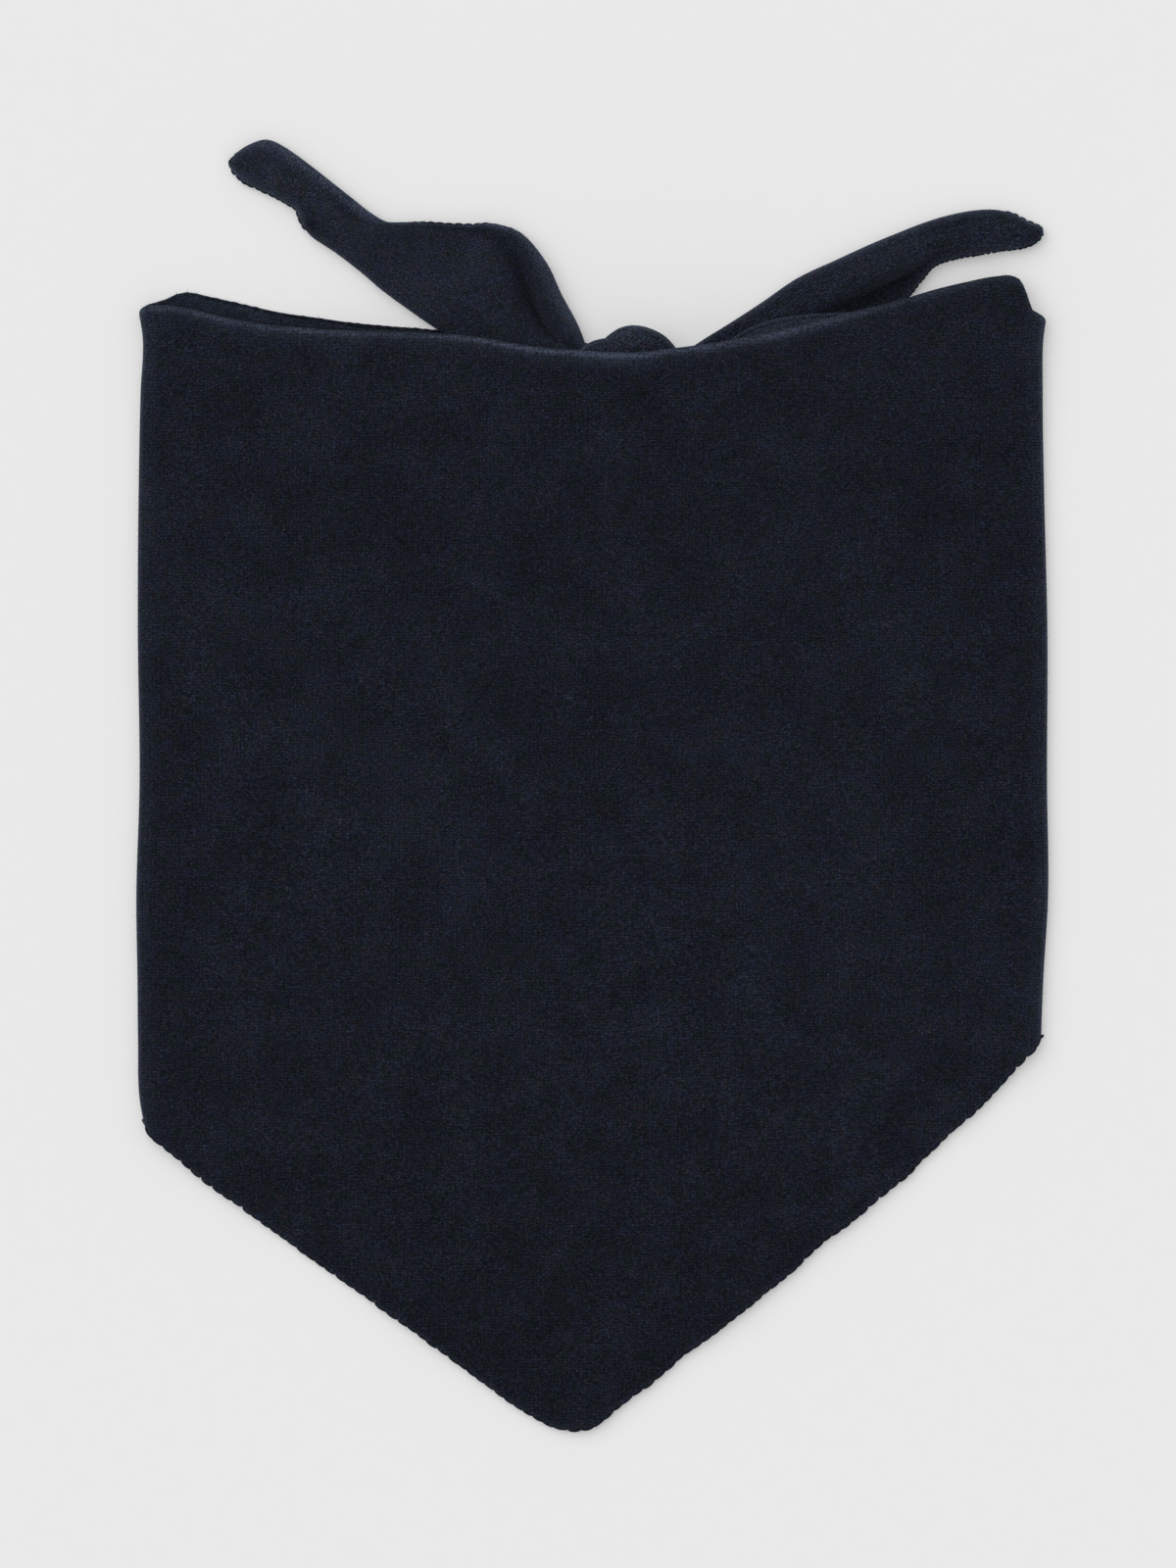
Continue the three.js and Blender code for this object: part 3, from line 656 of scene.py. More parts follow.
def tail_section(row, side, thickness):
    """One hairpin across a tail, from the lower layer's open edge round the fold to the upper."""
    fold = Vector((row[0], row[1], 0))
    opened = Vector((row[2], row[3], 0))
    height, ridge, ridge_at, valley, valley_at, stepped, wrap = row[4:11]
    across = opened - fold
    width = across.length
    across.normalize()
    half = thickness / 2
    radius = max(0.55, (height - thickness) / 2)
    radius = min(radius, width / 2 - half - 0.05)
    start = half + radius
    ridge_wide, valley_wide = RIDGE_WIDE[side], VALLEY_WIDE[side]
    wrap_radius = radius * 0.92
    edge = width - half - 0.4
    top_end = max(start + 0.5, mix(edge, edge - wrap_radius + 0.4, wrap))
    under_end = max(start + 0.4, edge - 0.9 - 1.2 * wrap)
    spots, painted_light_marks = [], []
    for step in range(UNDER_STEPS):
        reach = mix(under_end, start, step / UNDER_STEPS)
        spots.append((reach, half))
    for step in range(TURN_STEPS):
        turn = math.pi * step / TURN_STEPS
        spots.append((start - radius * math.sin(turn), half + radius * (1 - math.cos(turn))))
    level = half + 2 * radius
    for step in range(OVER_STEPS):
        reach = mix(start, top_end, step / (OVER_STEPS - 1))
        share = reach / width
        shape = ridge * math.exp(-((share - ridge_at) / ridge_wide) ** 2)
        shape -= valley * math.exp(-((share - valley_at) / valley_wide) ** 2)
        shape -= stepped * ease(valley_at - 0.10, valley_at + 0.02, share)
        shape += 0.25 * math.sin(math.pi * share)
        # Painted shade in the valley and on the lower layer past the step, where the upper layer shades it.
        wide = valley_wide * (1.15 if share < valley_at else 1.15 + 0.8 * stepped)
        depth = math.exp(-((share - valley_at) / wide) ** 2)
        painted_light_marks.append(min(1.0, (valley + 0.8 * stepped) / 2.2) * depth)
        spots.append((reach, max(half + thickness + 0.15, level + shape)))
    last_reach, last_level = spots[-1]
    drop = min(last_level - (half + thickness + 0.25), 2 * wrap_radius) * wrap
    for step in range(1, WRAP_STEPS + 1):
        turn = math.pi * 0.62 * step / WRAP_STEPS
        fall = drop * (1 - math.cos(turn)) / (1 - math.cos(math.pi * 0.62))
        forward = mix(0.9 * step / WRAP_STEPS, wrap_radius * math.sin(turn), wrap)
        spots.append((last_reach + forward, last_level - fall))
    painted_light_marks = [0.0] * (UNDER_STEPS + TURN_STEPS) + painted_light_marks + [0.0] * WRAP_STEPS
    outermost = max(reach for reach, _ in spots)
    # Painted highlight along the fold and along the open or wrapped edge.
    open_reach = mix(TAIL_HIGHLIGHT["open_edge"], TAIL_HIGHLIGHT["wrap"], wrap)
    highlights = [
        max(TAIL_HIGHLIGHT["fold_share"][side] * math.exp(-(reach / TAIL_HIGHLIGHT["fold"]) ** 2),
            TAIL_HIGHLIGHT["wrap_share"][side] * math.exp(-((outermost - reach) / open_reach) ** 2))
        for reach, _ in spots
    ]
    return [fold + across * reach + Vector((0, 0, level)) for reach, level in spots], painted_light_marks, highlights


def pinched(x, y):
    """How deep the pinches press the cloth down at this place."""
    return sum(
        depth * math.exp(-((x - at_x) ** 2 + (y - at_y) ** 2) / radius ** 2)
        for at_x, at_y, radius, depth in PINCHES
    )


def tail_body(rows, side, thickness):
    tracks = [Track(rows_with_index(rows), 0, column) for column in range(1, 12)]
    sections, painted_shades, highlights = [], [], []
    for step in range(TAIL_ROWS):
        place = (len(rows) - 1) * step / (TAIL_ROWS - 1)
        section, painted_darkening, highlight = tail_section([track(place) for track in tracks], side, thickness)
        painted_shades.append(painted_darkening)
        highlights.append(highlight)
        waves = [0.5 * max(0.0, unevenness(p.x * 2.2, p.y * 2.2)) - pinched(p.x, p.y) for p in section]
        sections.append([
            Vector((p.x, p.y, p.z + wave * ease(2, 4, p.z))) for p, wave in zip(section, waves)
        ])
        # Painted shade also deepens in the pinches.
        painted_shades[-1] = [
            min(1.0, shade_mark + 0.6 * pinched(p.x, p.y) * ease(2, 4, p.z))
            for shade_mark, p in zip(painted_darkening, section)
        ]
    turned = UNDER_STEPS + TURN_STEPS // 2
    flat, along = [], 0.0
    for j, section in enumerate(sections):
        if j:
            along += (section[turned] - sections[j - 1][turned]).length
        across = [0.0]
        for a, b in zip(section, section[1:]):
            across.append(across[-1] + (b - a).length)
        flat.append([(TAIL_FLAT_MIDDLE + side * (reach - across[turned]), along) for reach in across])
    # Painted highlight across the tail's end.
    ends = [0.6 * math.exp(-((TAIL_ROWS - 1 - j) / 1.2) ** 2) for j in range(TAIL_ROWS)]
    painted_highlight = [
        [max(nap, end) * (0.75 + 0.5 * noise.noise(Vector((i / 9, j / 5, 4.4))))
         for i, nap in enumerate(row)]
        for j, (row, end) in enumerate(zip(highlights, ends))
    ]
    if side == RIGHT:
        for table in (sections, painted_shades, flat, painted_highlight):
            table[:] = [list(reversed(row)) for row in table]
    columns, painted_shades, flat, painted_highlight = (
        [list(line) for line in zip(*table)] for table in (sections, painted_shades, flat, painted_highlight)
    )
    return columns, flat, painted_highlight, painted_shades


# ---------------------------------------------------------------- the knot

STRAND_SIDES, STRAND_ROWS = 64, 150
KNOT_HIGHLIGHT = 0.55
CREASES = 6


def strand_mesh(bm, rows, seed, uv_layer, painted_darkening_layer):
    """One strand of the knot: gathered cloth swept through the knot, creased along its length."""
    tracks = [Track(rows_with_index(rows), 0, column) for column in range(1, 6)]
    stations, along = [], 0.0
    for step in range(STRAND_ROWS):
        place = (len(rows) - 1) * step / (STRAND_ROWS - 1)
        x, y, z, width, height = (track(place) for track in tracks)
        centre = KNOT + Vector((x, y, z))
        if stations:
            along += (centre - stations[-1][0]).length
        stations.append((centre, width / 2, height / 2, along))
    made = bmesh.ops.create_grid(bm, x_segments=STRAND_SIDES, y_segments=STRAND_ROWS - 1, size=0.5)
    verts = made["verts"]
    place = {
        vert: (round((vert.co.x + 0.5) * STRAND_SIDES), round((vert.co.y + 0.5) * (STRAND_ROWS - 1)))
        for vert in verts
    }
    for face in {face for vert in verts for face in vert.link_faces}:
        for loop in face.loops:
            i, j = place[loop.vert]
            loop[uv_layer].uv = Vector((34 * i / STRAND_SIDES, stations[j][3])) * MM
    for vert, (i, j) in place.items():
        centre, half_width, half_height, travelled = stations[j]
        ahead = stations[min(STRAND_ROWS - 1, j + 1)][0] - stations[max(0, j - 1)][0]
        ahead.normalize()
        side = ahead.cross(Vector((0, 0, 1))).normalized()
        upward = side.cross(ahead)
        angle = math.tau * i / STRAND_SIDES
        drift = 1.6 * noise.noise(Vector((travelled / 24, seed, 0.5)))
        wave = math.cos(CREASES * (angle + drift) + 1.7 * math.sin(angle + seed))
        strength = 0.6 + 0.8 * noise.noise(Vector((math.cos(angle) * 1.3, math.sin(angle) * 1.3,
                                                   travelled / 13 + seed)))
        crease = 0.10 * max(0.25, strength) * (abs(wave) ** 0.6 - 0.75)
        around = Vector((math.cos(angle), math.sin(angle), 0)) * 0.8
        swell = 1 + crease + 0.05 * noise.noise(around + Vector((0, 0, travelled / 9 + seed)))
        spot = (
            centre
            + side * (half_width * math.cos(angle) * swell)
            + upward * (half_height * math.sin(angle) * swell)
        )
        spot.z = max(0.05, spot.z)
        vert.co = spot * MM
        # Painted shade along the bottoms of the knot's creases.
        vert[painted_darkening_layer] = 0.8 * max(0.0, strength) * (1 - abs(wave)) ** 3
    bmesh.ops.remove_doubles(bm, verts=verts, dist=1e-6)


# ---------------------------------------------------------------- the selvedge's bumps

def edge_lines(points, thickness):
    """The cloth's lower edge as one line, from the point where the left band shows to the right."""
    return [column[0] for column in points]


def spaced_along(line, pitch, jitter, dice):
    """Places and headings along a line, about one pitch apart."""
    places, travelled, target = [], 0.0, pitch / 2
    for a, b in zip(line, line[1:]):
        length = (b - a).length
        while length and travelled + length >= target:
            places.append((a.lerp(b, (target - travelled) / length), (b - a).normalized()))
            target += pitch * (1 + jitter * (dice.random() - 0.5))
        travelled += length
    return places


TIP_BUMPS_FROM = {LEFT: 0.62, RIGHT: 0.84}
TAIL_BUMP_SIZE = {LEFT: 0.7, RIGHT: 0.42}


def add_bump(bm, place, heading, length, radius, squash=0.85):
    made = bmesh.ops.create_uvsphere(bm, u_segments=8, v_segments=6, radius=1.0)
    flat_heading = Vector((heading.x, heading.y, 0))
    if flat_heading.length < 1e-6:
        flat_heading = Vector((1, 0, 0))
    flat_heading.normalize()
    side = Vector((-flat_heading.y, flat_heading.x, 0))
    for vert in made["verts"]:
        local = vert.co.copy()
        spot = (
            place
            + flat_heading * (local.z * length / 2)
            + side * (local.x * radius)
            + Vector((0, 0, local.y * radius * squash))
        )
        spot.z = max(0.0, spot.z)
        vert.co = spot * MM


# ---------------------------------------------------------------- the nap

FIBRE_SIDES, FIBRE_RINGS = 3, 4


def nap_roots(bm, dice, thickness, per_edge_mm, per_fold_mm2, per_face_mm2):
    """Where loose fibres stand: along open edges, on folds and rolls, and a few on the faces."""
    roots = []
    half = thickness / 2
    for vert in bm.verts:
        spot = vert.co / MM
        area = sum(face.calc_area() for face in vert.link_faces) / 4 / MM ** 2
        if vert.is_boundary:
            inside = sum((face.calc_center_median() for face in vert.link_faces), Vector())
            inside /= max(1, len(vert.link_faces))
            outward = (vert.co - inside).normalized()
            length = sum(edge.calc_length() for edge in vert.link_edges if edge.is_boundary) / 2
            expected = per_edge_mm * length / MM
        else:
            outward = vert.normal.copy()
            steep = abs(outward.z) < 0.55
            expected = area * (per_fold_mm2 if steep else per_face_mm2)
        while expected > 0 and dice.random() < expected:
            expected -= 1
            roots.append((spot + outward * half * 0.8, outward, vert.is_boundary))
    return roots


def add_fibres(bm, roots, dice):
    """Short curved fibres, each a tapered three-sided thread rooted in the cloth."""
    seed_bm = bmesh.new()
    bmesh.ops.create_cone(
        seed_bm, cap_ends=True, segments=FIBRE_SIDES, radius1=1.0, radius2=0.35, depth=1.0,
    )
    long_edges = [
        edge for edge in seed_bm.edges if abs(edge.verts[0].co.z - edge.verts[1].co.z) > 0.5
    ]
    bmesh.ops.subdivide_edges(seed_bm, edges=long_edges, cuts=FIBRE_RINGS - 2)
    template = bpy.data.meshes.new("fibre")
    seed_bm.to_mesh(template)
    seed_bm.free()
    for _ in roots:
        bm.from_mesh(template)
    each = FIBRE_SIDES * FIBRE_RINGS
    bpy.data.meshes.remove(template)
    plan = []
    for spot, outward, at_edge in roots:
        lean = Vector([dice.gauss(0, 1) for _ in range(3)])
        lean -= outward * lean.dot(outward)
        lean.normalize()
        upright = outward.z > 0.55 and not at_edge
        heading = (outward * (0.25 if upright else 0.85) + lean * (0.9 if upright else 0.6)).normalized()
        bend = Vector([dice.gauss(0, 0.45) for _ in range(3)])
        length = dice.uniform(0.7, 1.5) * (0.9 if upright else 1.0)
        plan.append((spot - heading * 0.25, heading, bend, length, dice.uniform(0.030, 0.055)))
    for index, vert in enumerate(bm.verts):
        spot, heading, bend, length, radius = plan[index // each]
        share = vert.co.z + 0.5
        side = heading.orthogonal().normalized()
        other = heading.cross(side)
        centre = spot + (heading * share + bend * share * share * 0.5) * length
        taper = 1 - 0.6 * share
        place = centre + (side * vert.co.x + other * vert.co.y) * radius * taper
        place.z = max(0.02, place.z)
        vert.co = place * MM


# ---------------------------------------------------------------- materials

class Wiring:
    """Adds nodes to one tree and links them."""

    def __init__(self, tree):
        self.tree = tree

    def add(self, kind, **settings):
        node = self.tree.nodes.new(kind)
        for name, value in settings.items():
            setattr(node, name, value)
        return node

    def feed(self, socket, value):
        if isinstance(value, bpy.types.NodeSocket):
            self.tree.links.new(value, socket)
        else:
            socket.default_value = value

    def math(self, operation, *values, clamp=False):
        node = self.add("ShaderNodeMath", operation=operation, use_clamp=clamp)
        for socket, value in zip(node.inputs, values):
            self.feed(socket, value)
        return node.outputs[0]

    def vector(self, operation, *values):
        node = self.add("ShaderNodeVectorMath", operation=operation)
        for socket, value in zip(node.inputs, values):
            self.feed(socket, value)
        return node.outputs[0]

    def noise(self, place, scale, detail=2.0, roughness=0.5):
        node = self.add("ShaderNodeTexNoise")
        self.feed(node.inputs["Vector"], place)
        self.feed(node.inputs["Scale"], scale)
        self.feed(node.inputs["Detail"], detail)
        self.feed(node.inputs["Roughness"], roughness)
        return node.outputs[0]

    def span(self, value, start, end, low, high):
        node = self.add("ShaderNodeMapRange", clamp=True)
        for socket, item in zip(node.inputs, (value, start, end, low, high)):
            self.feed(socket, item)
        return node.outputs[0]

    def blend(self, share, first, second):
        node = self.add("ShaderNodeMix", data_type="RGBA")
        self.feed(node.inputs[0], share)
        self.feed(node.inputs[6], first)
        self.feed(node.inputs[7], second)
        return node.outputs[2]

    def brighten(self, colour, factor):
        node = self.add("ShaderNodeVectorMath", operation="SCALE")
        self.feed(node.inputs[0], colour)
        self.feed(node.inputs[3], factor)
        return node.outputs[0]

    def group(self, tree, **values):
        node = self.add("ShaderNodeGroup", node_tree=tree)
        for name, value in values.items():
            self.feed(node.inputs[name.replace("_", " ")], value)
        return node.outputs


def new_group(name, takes, gives):
    tree = bpy.data.node_groups.new(name, "ShaderNodeTree")
    for label, kind, default in takes:
        socket = tree.interface.new_socket(label, in_out="INPUT", socket_type=kind)
        if default is not None:
            socket.default_value = default
    for label, kind in gives:
        tree.interface.new_socket(label, in_out="OUTPUT", socket_type=kind)
    wires = Wiring(tree)
    return tree, wires, wires.add("NodeGroupInput").outputs, wires.add("NodeGroupOutput").inputs


def stitches_group():
    """The face of a jersey knit: columns of small Vs. Purl turns it to the back's short waves."""
    tree, w, taken, given = new_group(
        "Jersey stitches",
        [
            ("Vector", "NodeSocketVector", None),
            ("Wale pitch", "NodeSocketFloat", 0.0014),
            ("Course pitch", "NodeSocketFloat", 0.00104),
            ("Wander", "NodeSocketFloat", 0.004),
            ("Purl", "NodeSocketFloat", 0.0),
        ],
        [("Height", "NodeSocketFloat")],
    )
    shift = w.vector("SUBTRACT", color_noise(w, taken["Vector"], 11.0), (0.5, 0.5, 0.5))
    shift = w.vector("MULTIPLY", shift, combined(w, taken["Wander"], taken["Wander"], 0.0))
    quick = w.vector("SUBTRACT", color_noise(w, taken["Vector"], 380.0), (0.5, 0.5, 0.5))
    quick = w.vector("MULTIPLY", quick, (0.0014, 0.0010, 0.0))
    place = w.vector("ADD", w.vector("ADD", taken["Vector"], shift), quick)
    parts = w.add("ShaderNodeSeparateXYZ")
    w.feed(parts.inputs[0], place)
    wale = w.math("DIVIDE", parts.outputs[0], taken["Wale pitch"])
    course = w.math("DIVIDE", parts.outputs[1], taken["Course pitch"])
    within = w.math("FRACT", wale)
    leg = w.math("ABSOLUTE", w.math("SUBTRACT", within, 0.5))
    column = w.span(w.math("SINE", w.math("MULTIPLY", within, math.pi)), 0.0, 1.0, 0.55, 1.0)
    slant = w.math("SUBTRACT", course, w.math("MULTIPLY", leg, 1.3))
    loop = w.span(w.math("COSINE", w.math("MULTIPLY", slant, math.tau)), -1.0, 1.0, 0.18, 1.0)
    face = w.math("MULTIPLY", column, loop)
    sway = w.math("MULTIPLY", w.math("COSINE", w.math("MULTIPLY", wale, math.tau)), 0.3)
    bar = w.math("COSINE", w.math("MULTIPLY", w.math("ADD", course, sway), math.tau))
    back = w.span(bar, -1.0, 1.0, 0.15, 0.95)
    node = w.add("ShaderNodeMix", data_type="FLOAT")
    w.feed(node.inputs[0], taken["Purl"])
    w.feed(node.inputs[2], face)
    w.feed(node.inputs[3], back)
    uneven = w.span(w.noise(taken["Vector"], 900.0, 2.0), 0.3, 0.7, 0.62, 1.2)
    w.feed(given["Height"], w.math("MULTIPLY", node.outputs[0], uneven))
    return tree


def color_noise(w, place, scale):
    node = w.add("ShaderNodeTexNoise")
    w.feed(node.inputs["Vector"], place)
    w.feed(node.inputs["Scale"], scale)
    w.feed(node.inputs["Detail"], 1.0)
    return node.outputs[1]


def combined(w, x, y, z):
    node = w.add("ShaderNodeCombineXYZ")
    for socket, value in zip(node.inputs, (x, y, z)):
        w.feed(socket, value)
    return node.outputs[0]


def yarn_group():
    """Heather yarn: dyed fibres of several near colours, short flecks along the rows, fine specks."""
    tree, w, taken, given = new_group(
        "Heather yarn",
        [
            ("Vector", "NodeSocketVector", None),
            ("Main", "NodeSocketColor", (0.011, 0.013, 0.019, 1)),
            ("Cool", "NodeSocketColor", (0.008, 0.016, 0.021, 1)),
            ("Violet", "NodeSocketColor", (0.013, 0.012, 0.027, 1)),
            ("Warm", "NodeSocketColor", (0.02, 0.014, 0.013, 1)),
            ("Fleck", "NodeSocketFloat", 1.0),
        ],
        [("Color", "NodeSocketColor"), ("Fleck", "NodeSocketFloat")],
    )
    place = taken["Vector"]
    shifted = w.vector("ADD", place, (0.31, 0.17, 0.0))
    again = w.vector("ADD", place, (-0.23, 0.41, 0.0))
    colour = w.blend(
        w.span(w.noise(place, 330.0, 4.0, 0.6), 0.46, 0.62, 0.0, 1.0), taken["Main"], taken["Cool"]
    )
    colour = w.blend(
        w.span(w.noise(shifted, 300.0, 4.0, 0.6), 0.48, 0.64, 0.0, 1.0), colour, taken["Violet"]
    )
    colour = w.blend(
        w.span(w.noise(again, 330.0, 4.0, 0.6), 0.56, 0.72, 0.0, 0.8), colour, taken["Warm"]
    )
    along = w.vector("MULTIPLY", place, (1050.0, 1850.0, 1600.0))
    dash = w.span(w.noise(along, 1.0, 1.0, 0.5), 0.3, 0.7, -1.0, 1.0)
    speck = w.span(w.noise(shifted, 2500.0, 1.0), 0.3, 0.7, -1.0, 1.0)
    broad = w.span(w.noise(again, 60.0, 3.0), 0.34, 0.66, -1.0, 1.0)
    slow = w.span(w.noise(shifted, 9.0, 2.0), 0.34, 0.66, -1.0, 1.0)
    total = w.math("MULTIPLY_ADD", dash, 0.96, w.math("MULTIPLY", speck, 0.82))
    total = w.math("MULTIPLY_ADD", slow, 0.10, total)
    total = w.math("MULTIPLY", w.math("MULTIPLY_ADD", broad, 0.23, total), taken["Fleck"])
    shade = w.math("POWER", 2.0, total)
    w.feed(given["Color"], w.brighten(colour, shade))
    w.feed(given["Fleck"], total)
    return tree


def knit_material(name, groups, colours, sizes, **how):
    """One knitted finish; how says how much lighter it is painted, how deep its stitches are, how strong its painted
    highlight and painted stitch shade are, and which side it shows.
    """
    material = bpy.data.materials.new(name)
    material.use_nodes = True
    tree = material.node_tree
    w = Wiring(tree)
    shader = tree.nodes["Principled BSDF"]
    place = w.add("ShaderNodeTexCoord").outputs["Object"]
    woven = place
    if not how.get("no_map"):
        woven = w.add("ShaderNodeUVMap", uv_map="Flat cloth").outputs[0]
    stitched = w.group(
        groups["stitches"], Vector=woven, Wale_pitch=sizes.wale_pitch,
        Course_pitch=sizes.course_pitch, Purl=how.get("purl", 0.0),
    )
    light = how.get("light", 1.0)
    tints = {key: tuple(c * light for c in getattr(colours, key)) + (1.0,)
             for key in ("main", "cool", "violet", "warm", "painted_highlight")}
    yarn = w.group(
        groups["yarn"], Vector=place, Main=tints["main"], Cool=tints["cool"],
        Violet=tints["violet"], Warm=tints["warm"], Fleck=how.get("fleck", 1.0),
    )
    colour = yarn["Color"]
    # Painted highlight: the colour is blended towards the pale edge colour where the attribute marks an edge, a fold
    # or a roll.
    edge = w.add("ShaderNodeAttribute", attribute_name="painted_highlight").outputs["Fac"]
    lit = w.math("MULTIPLY", edge, how.get("painted_highlight", 0.0))
    highlight_share = w.math("MULTIPLY", lit, w.span(w.noise(place, 1100.0, 2.0), 0.32, 0.64, 0.2, 1.25))
    colour = w.blend(highlight_share, colour, tints["painted_highlight"])
    # Painted shade in the tails' valleys, the pinches and the knot's creases; the front is also coloured darker
    # towards its point.
    painted_darkening = w.add("ShaderNodeAttribute", attribute_name="crease").outputs["Fac"]
    colour = w.brighten(colour, w.math("SUBTRACT", 1.0, w.math("MULTIPLY", painted_darkening, 0.72)))
    # Painted shade between the stitches: the colour is darker where the stitch height is low.
    stitch_shade = w.span(stitched["Height"], 0.0, 1.0, how.get("stitch_shade", 0.40), 1.34)
    w.feed(shader.inputs["Base Color"], w.brighten(colour, stitch_shade))
    rough = w.span(yarn["Fleck"], -1.0, 1.0, 0.96, 0.84)
    w.feed(shader.inputs["Roughness"], rough)
    bump = w.add("ShaderNodeBump")
    bump.inputs["Distance"].default_value = how.get("depth", 0.00035)
    bump.inputs["Strength"].default_value = 1.0
    fibre = w.noise(place, 2600.0, 2.0)
    w.feed(bump.inputs["Height"], w.math("MULTIPLY_ADD", fibre, 0.35, stitched["Height"]))
    w.feed(shader.inputs["Normal"], bump.outputs[0])
    shader.inputs["Specular IOR Level"].default_value = 0.02
    shader.inputs["Sheen Weight"].default_value = how.get("sheen", 0.15)
    shader.inputs["Sheen Roughness"].default_value = 0.45
    shader.inputs["Sheen Tint"].default_value = tuple(colours.sheen) + (1.0,)
    return material


def plain_material(name, colour, roughness, glow):
    """A matt surface with a barely visible grain, for the table that the cloth lies on. It is lit a
    little from below, which keeps the cloth's shadow pale."""
    material = bpy.data.materials.new(name)
    material.use_nodes = True
    w = Wiring(material.node_tree)
    shader = material.node_tree.nodes["Principled BSDF"]
    place = w.add("ShaderNodeTexCoord").outputs["Object"]
    grain = w.span(w.noise(place, 140.0, 2.0), 0.3, 0.7, 0.997, 1.003)
    w.feed(shader.inputs["Base Color"], w.brighten(tuple(colour), grain))
    shader.inputs["Roughness"].default_value = roughness
    shader.inputs["Specular IOR Level"].default_value = 0.0
    shader.inputs["Emission Color"].default_value = tuple(colour) + (1.0,)
    shader.inputs["Emission Strength"].default_value = glow
    return material


TABLE_GLOW = 0.46

# The light factor paints a lighter copy of the same yarn where a part shows lit: the raised left tail, the right
# tail's face, the knot and the loose fibres.
FINISHES = {
    "Jersey face": {"painted_highlight": 1.0},
    "Lit raised face": {"painted_highlight": 0.85, "light": 1.43, "fleck": 0.85, "stitch_shade": 0.6},
    "Lit jersey face": {"painted_highlight": 1.0, "light": 1.28},
    "Jersey back": {"purl": 1.0, "painted_highlight": 1.0, "light": 1.0},
    "Turned edge": {"purl": 1.0, "painted_highlight": 0.6, "light": 1.0},
    "Selvedge yarn": {"light": 1.0, "painted_highlight": 0.0, "no_map": True, "depth": 0.0002},
    "Knot cloth": {"light": 1.8, "painted_highlight": 1.0},
    "Loose fibre": {"light": 2.4, "painted_highlight": 0.0, "no_map": True, "depth": 0.0, "fleck": 0.5},
}


def finish(context, name):
    """The named finish, made the first time that it is asked for."""
    if name in bpy.data.materials:
        return bpy.data.materials[name]
    groups = {}
    for key, label, make in (
        ("stitches", "Jersey stitches", stitches_group),
        ("yarn", "Heather yarn", yarn_group),
    ):
        groups[key] = bpy.data.node_groups.get(label) or make()
    scene = context.scene
    return knit_material(
        name, groups, scene.bandana_colours, scene.bandana_sizes, **FINISHES[name]
    )


# ---------------------------------------------------------------- sizes and colours

class BandanaSizes(bpy.types.PropertyGroup):
    cloth_thickness: FloatProperty(
        name="Cloth thickness", description="Thickness of the knit, in millimetres",
        default=1.4, min=0.8, max=1.8,
    )
    roll_radius: FloatProperty(
        name="Neck roll", description="Radius that the raw neck edge curls to, in millimetres",
        default=1.0, min=0.8, max=1.3,
    )
    wale_pitch: FloatProperty(
        name="Wale pitch", description="Width of one column of stitches",
        default=0.00141, min=0.0005, unit="LENGTH", precision=5,
    )
    course_pitch: FloatProperty(
        name="Course pitch", description="Height of one row of stitches",
        default=0.00104, min=0.0004, unit="LENGTH", precision=5,
    )
    bump_pitch: FloatProperty(
        name="Selvedge pitch", description="Distance between the edge's bumps, in millimetres",
        default=4.2, min=2.0, max=8.0,
    )
    seed: IntProperty(
        name="Seed", description="Which uneven selvedge and nap is drawn", default=7, min=1,
    )
    camera_height: FloatProperty(
        name="Camera height", description="Distance of the camera above the table",
        default=3.0, min=1.0, unit="LENGTH",
    )
    frame_height: FloatProperty(
        name="Frame height", description="Height of the table that the picture shows",
        default=0.536, min=0.2, unit="LENGTH",
    )


def colour_property(name, description, default):
    return FloatVectorProperty(
        name=name, description=description, subtype="COLOR", size=3, min=0.0, max=1.0,
        default=default,
    )


class BandanaColours(bpy.types.PropertyGroup):
    main: colour_property("Navy", "Main colour of the yarn", (0.0110, 0.0132, 0.0198))
    cool: colour_property("Teal fibre", "Green-black fibres", (0.0082, 0.0121, 0.0144))
    violet: colour_property("Violet fibre", "Violet-blue fibres", (0.0109, 0.0133, 0.0259))
    warm: colour_property("Warm fibre", "Plum-grey fibres", (0.0173, 0.0120, 0.0169))
    # Colour of the painted highlight along edges, folds and rolls, standing for the lit nap.
    painted_highlight: colour_property("Painted highlight at edges", "Highlight painted along edges and folds", (0.057, 0.071, 0.108))
    sheen: colour_property("Sheen", "Tint of the nap's sheen", (0.56, 0.65, 0.88))
    table: colour_property("Table", "The surface that the cloth lies on", (0.552, 0.552, 0.552))


# ---------------------------------------------------------------- operators

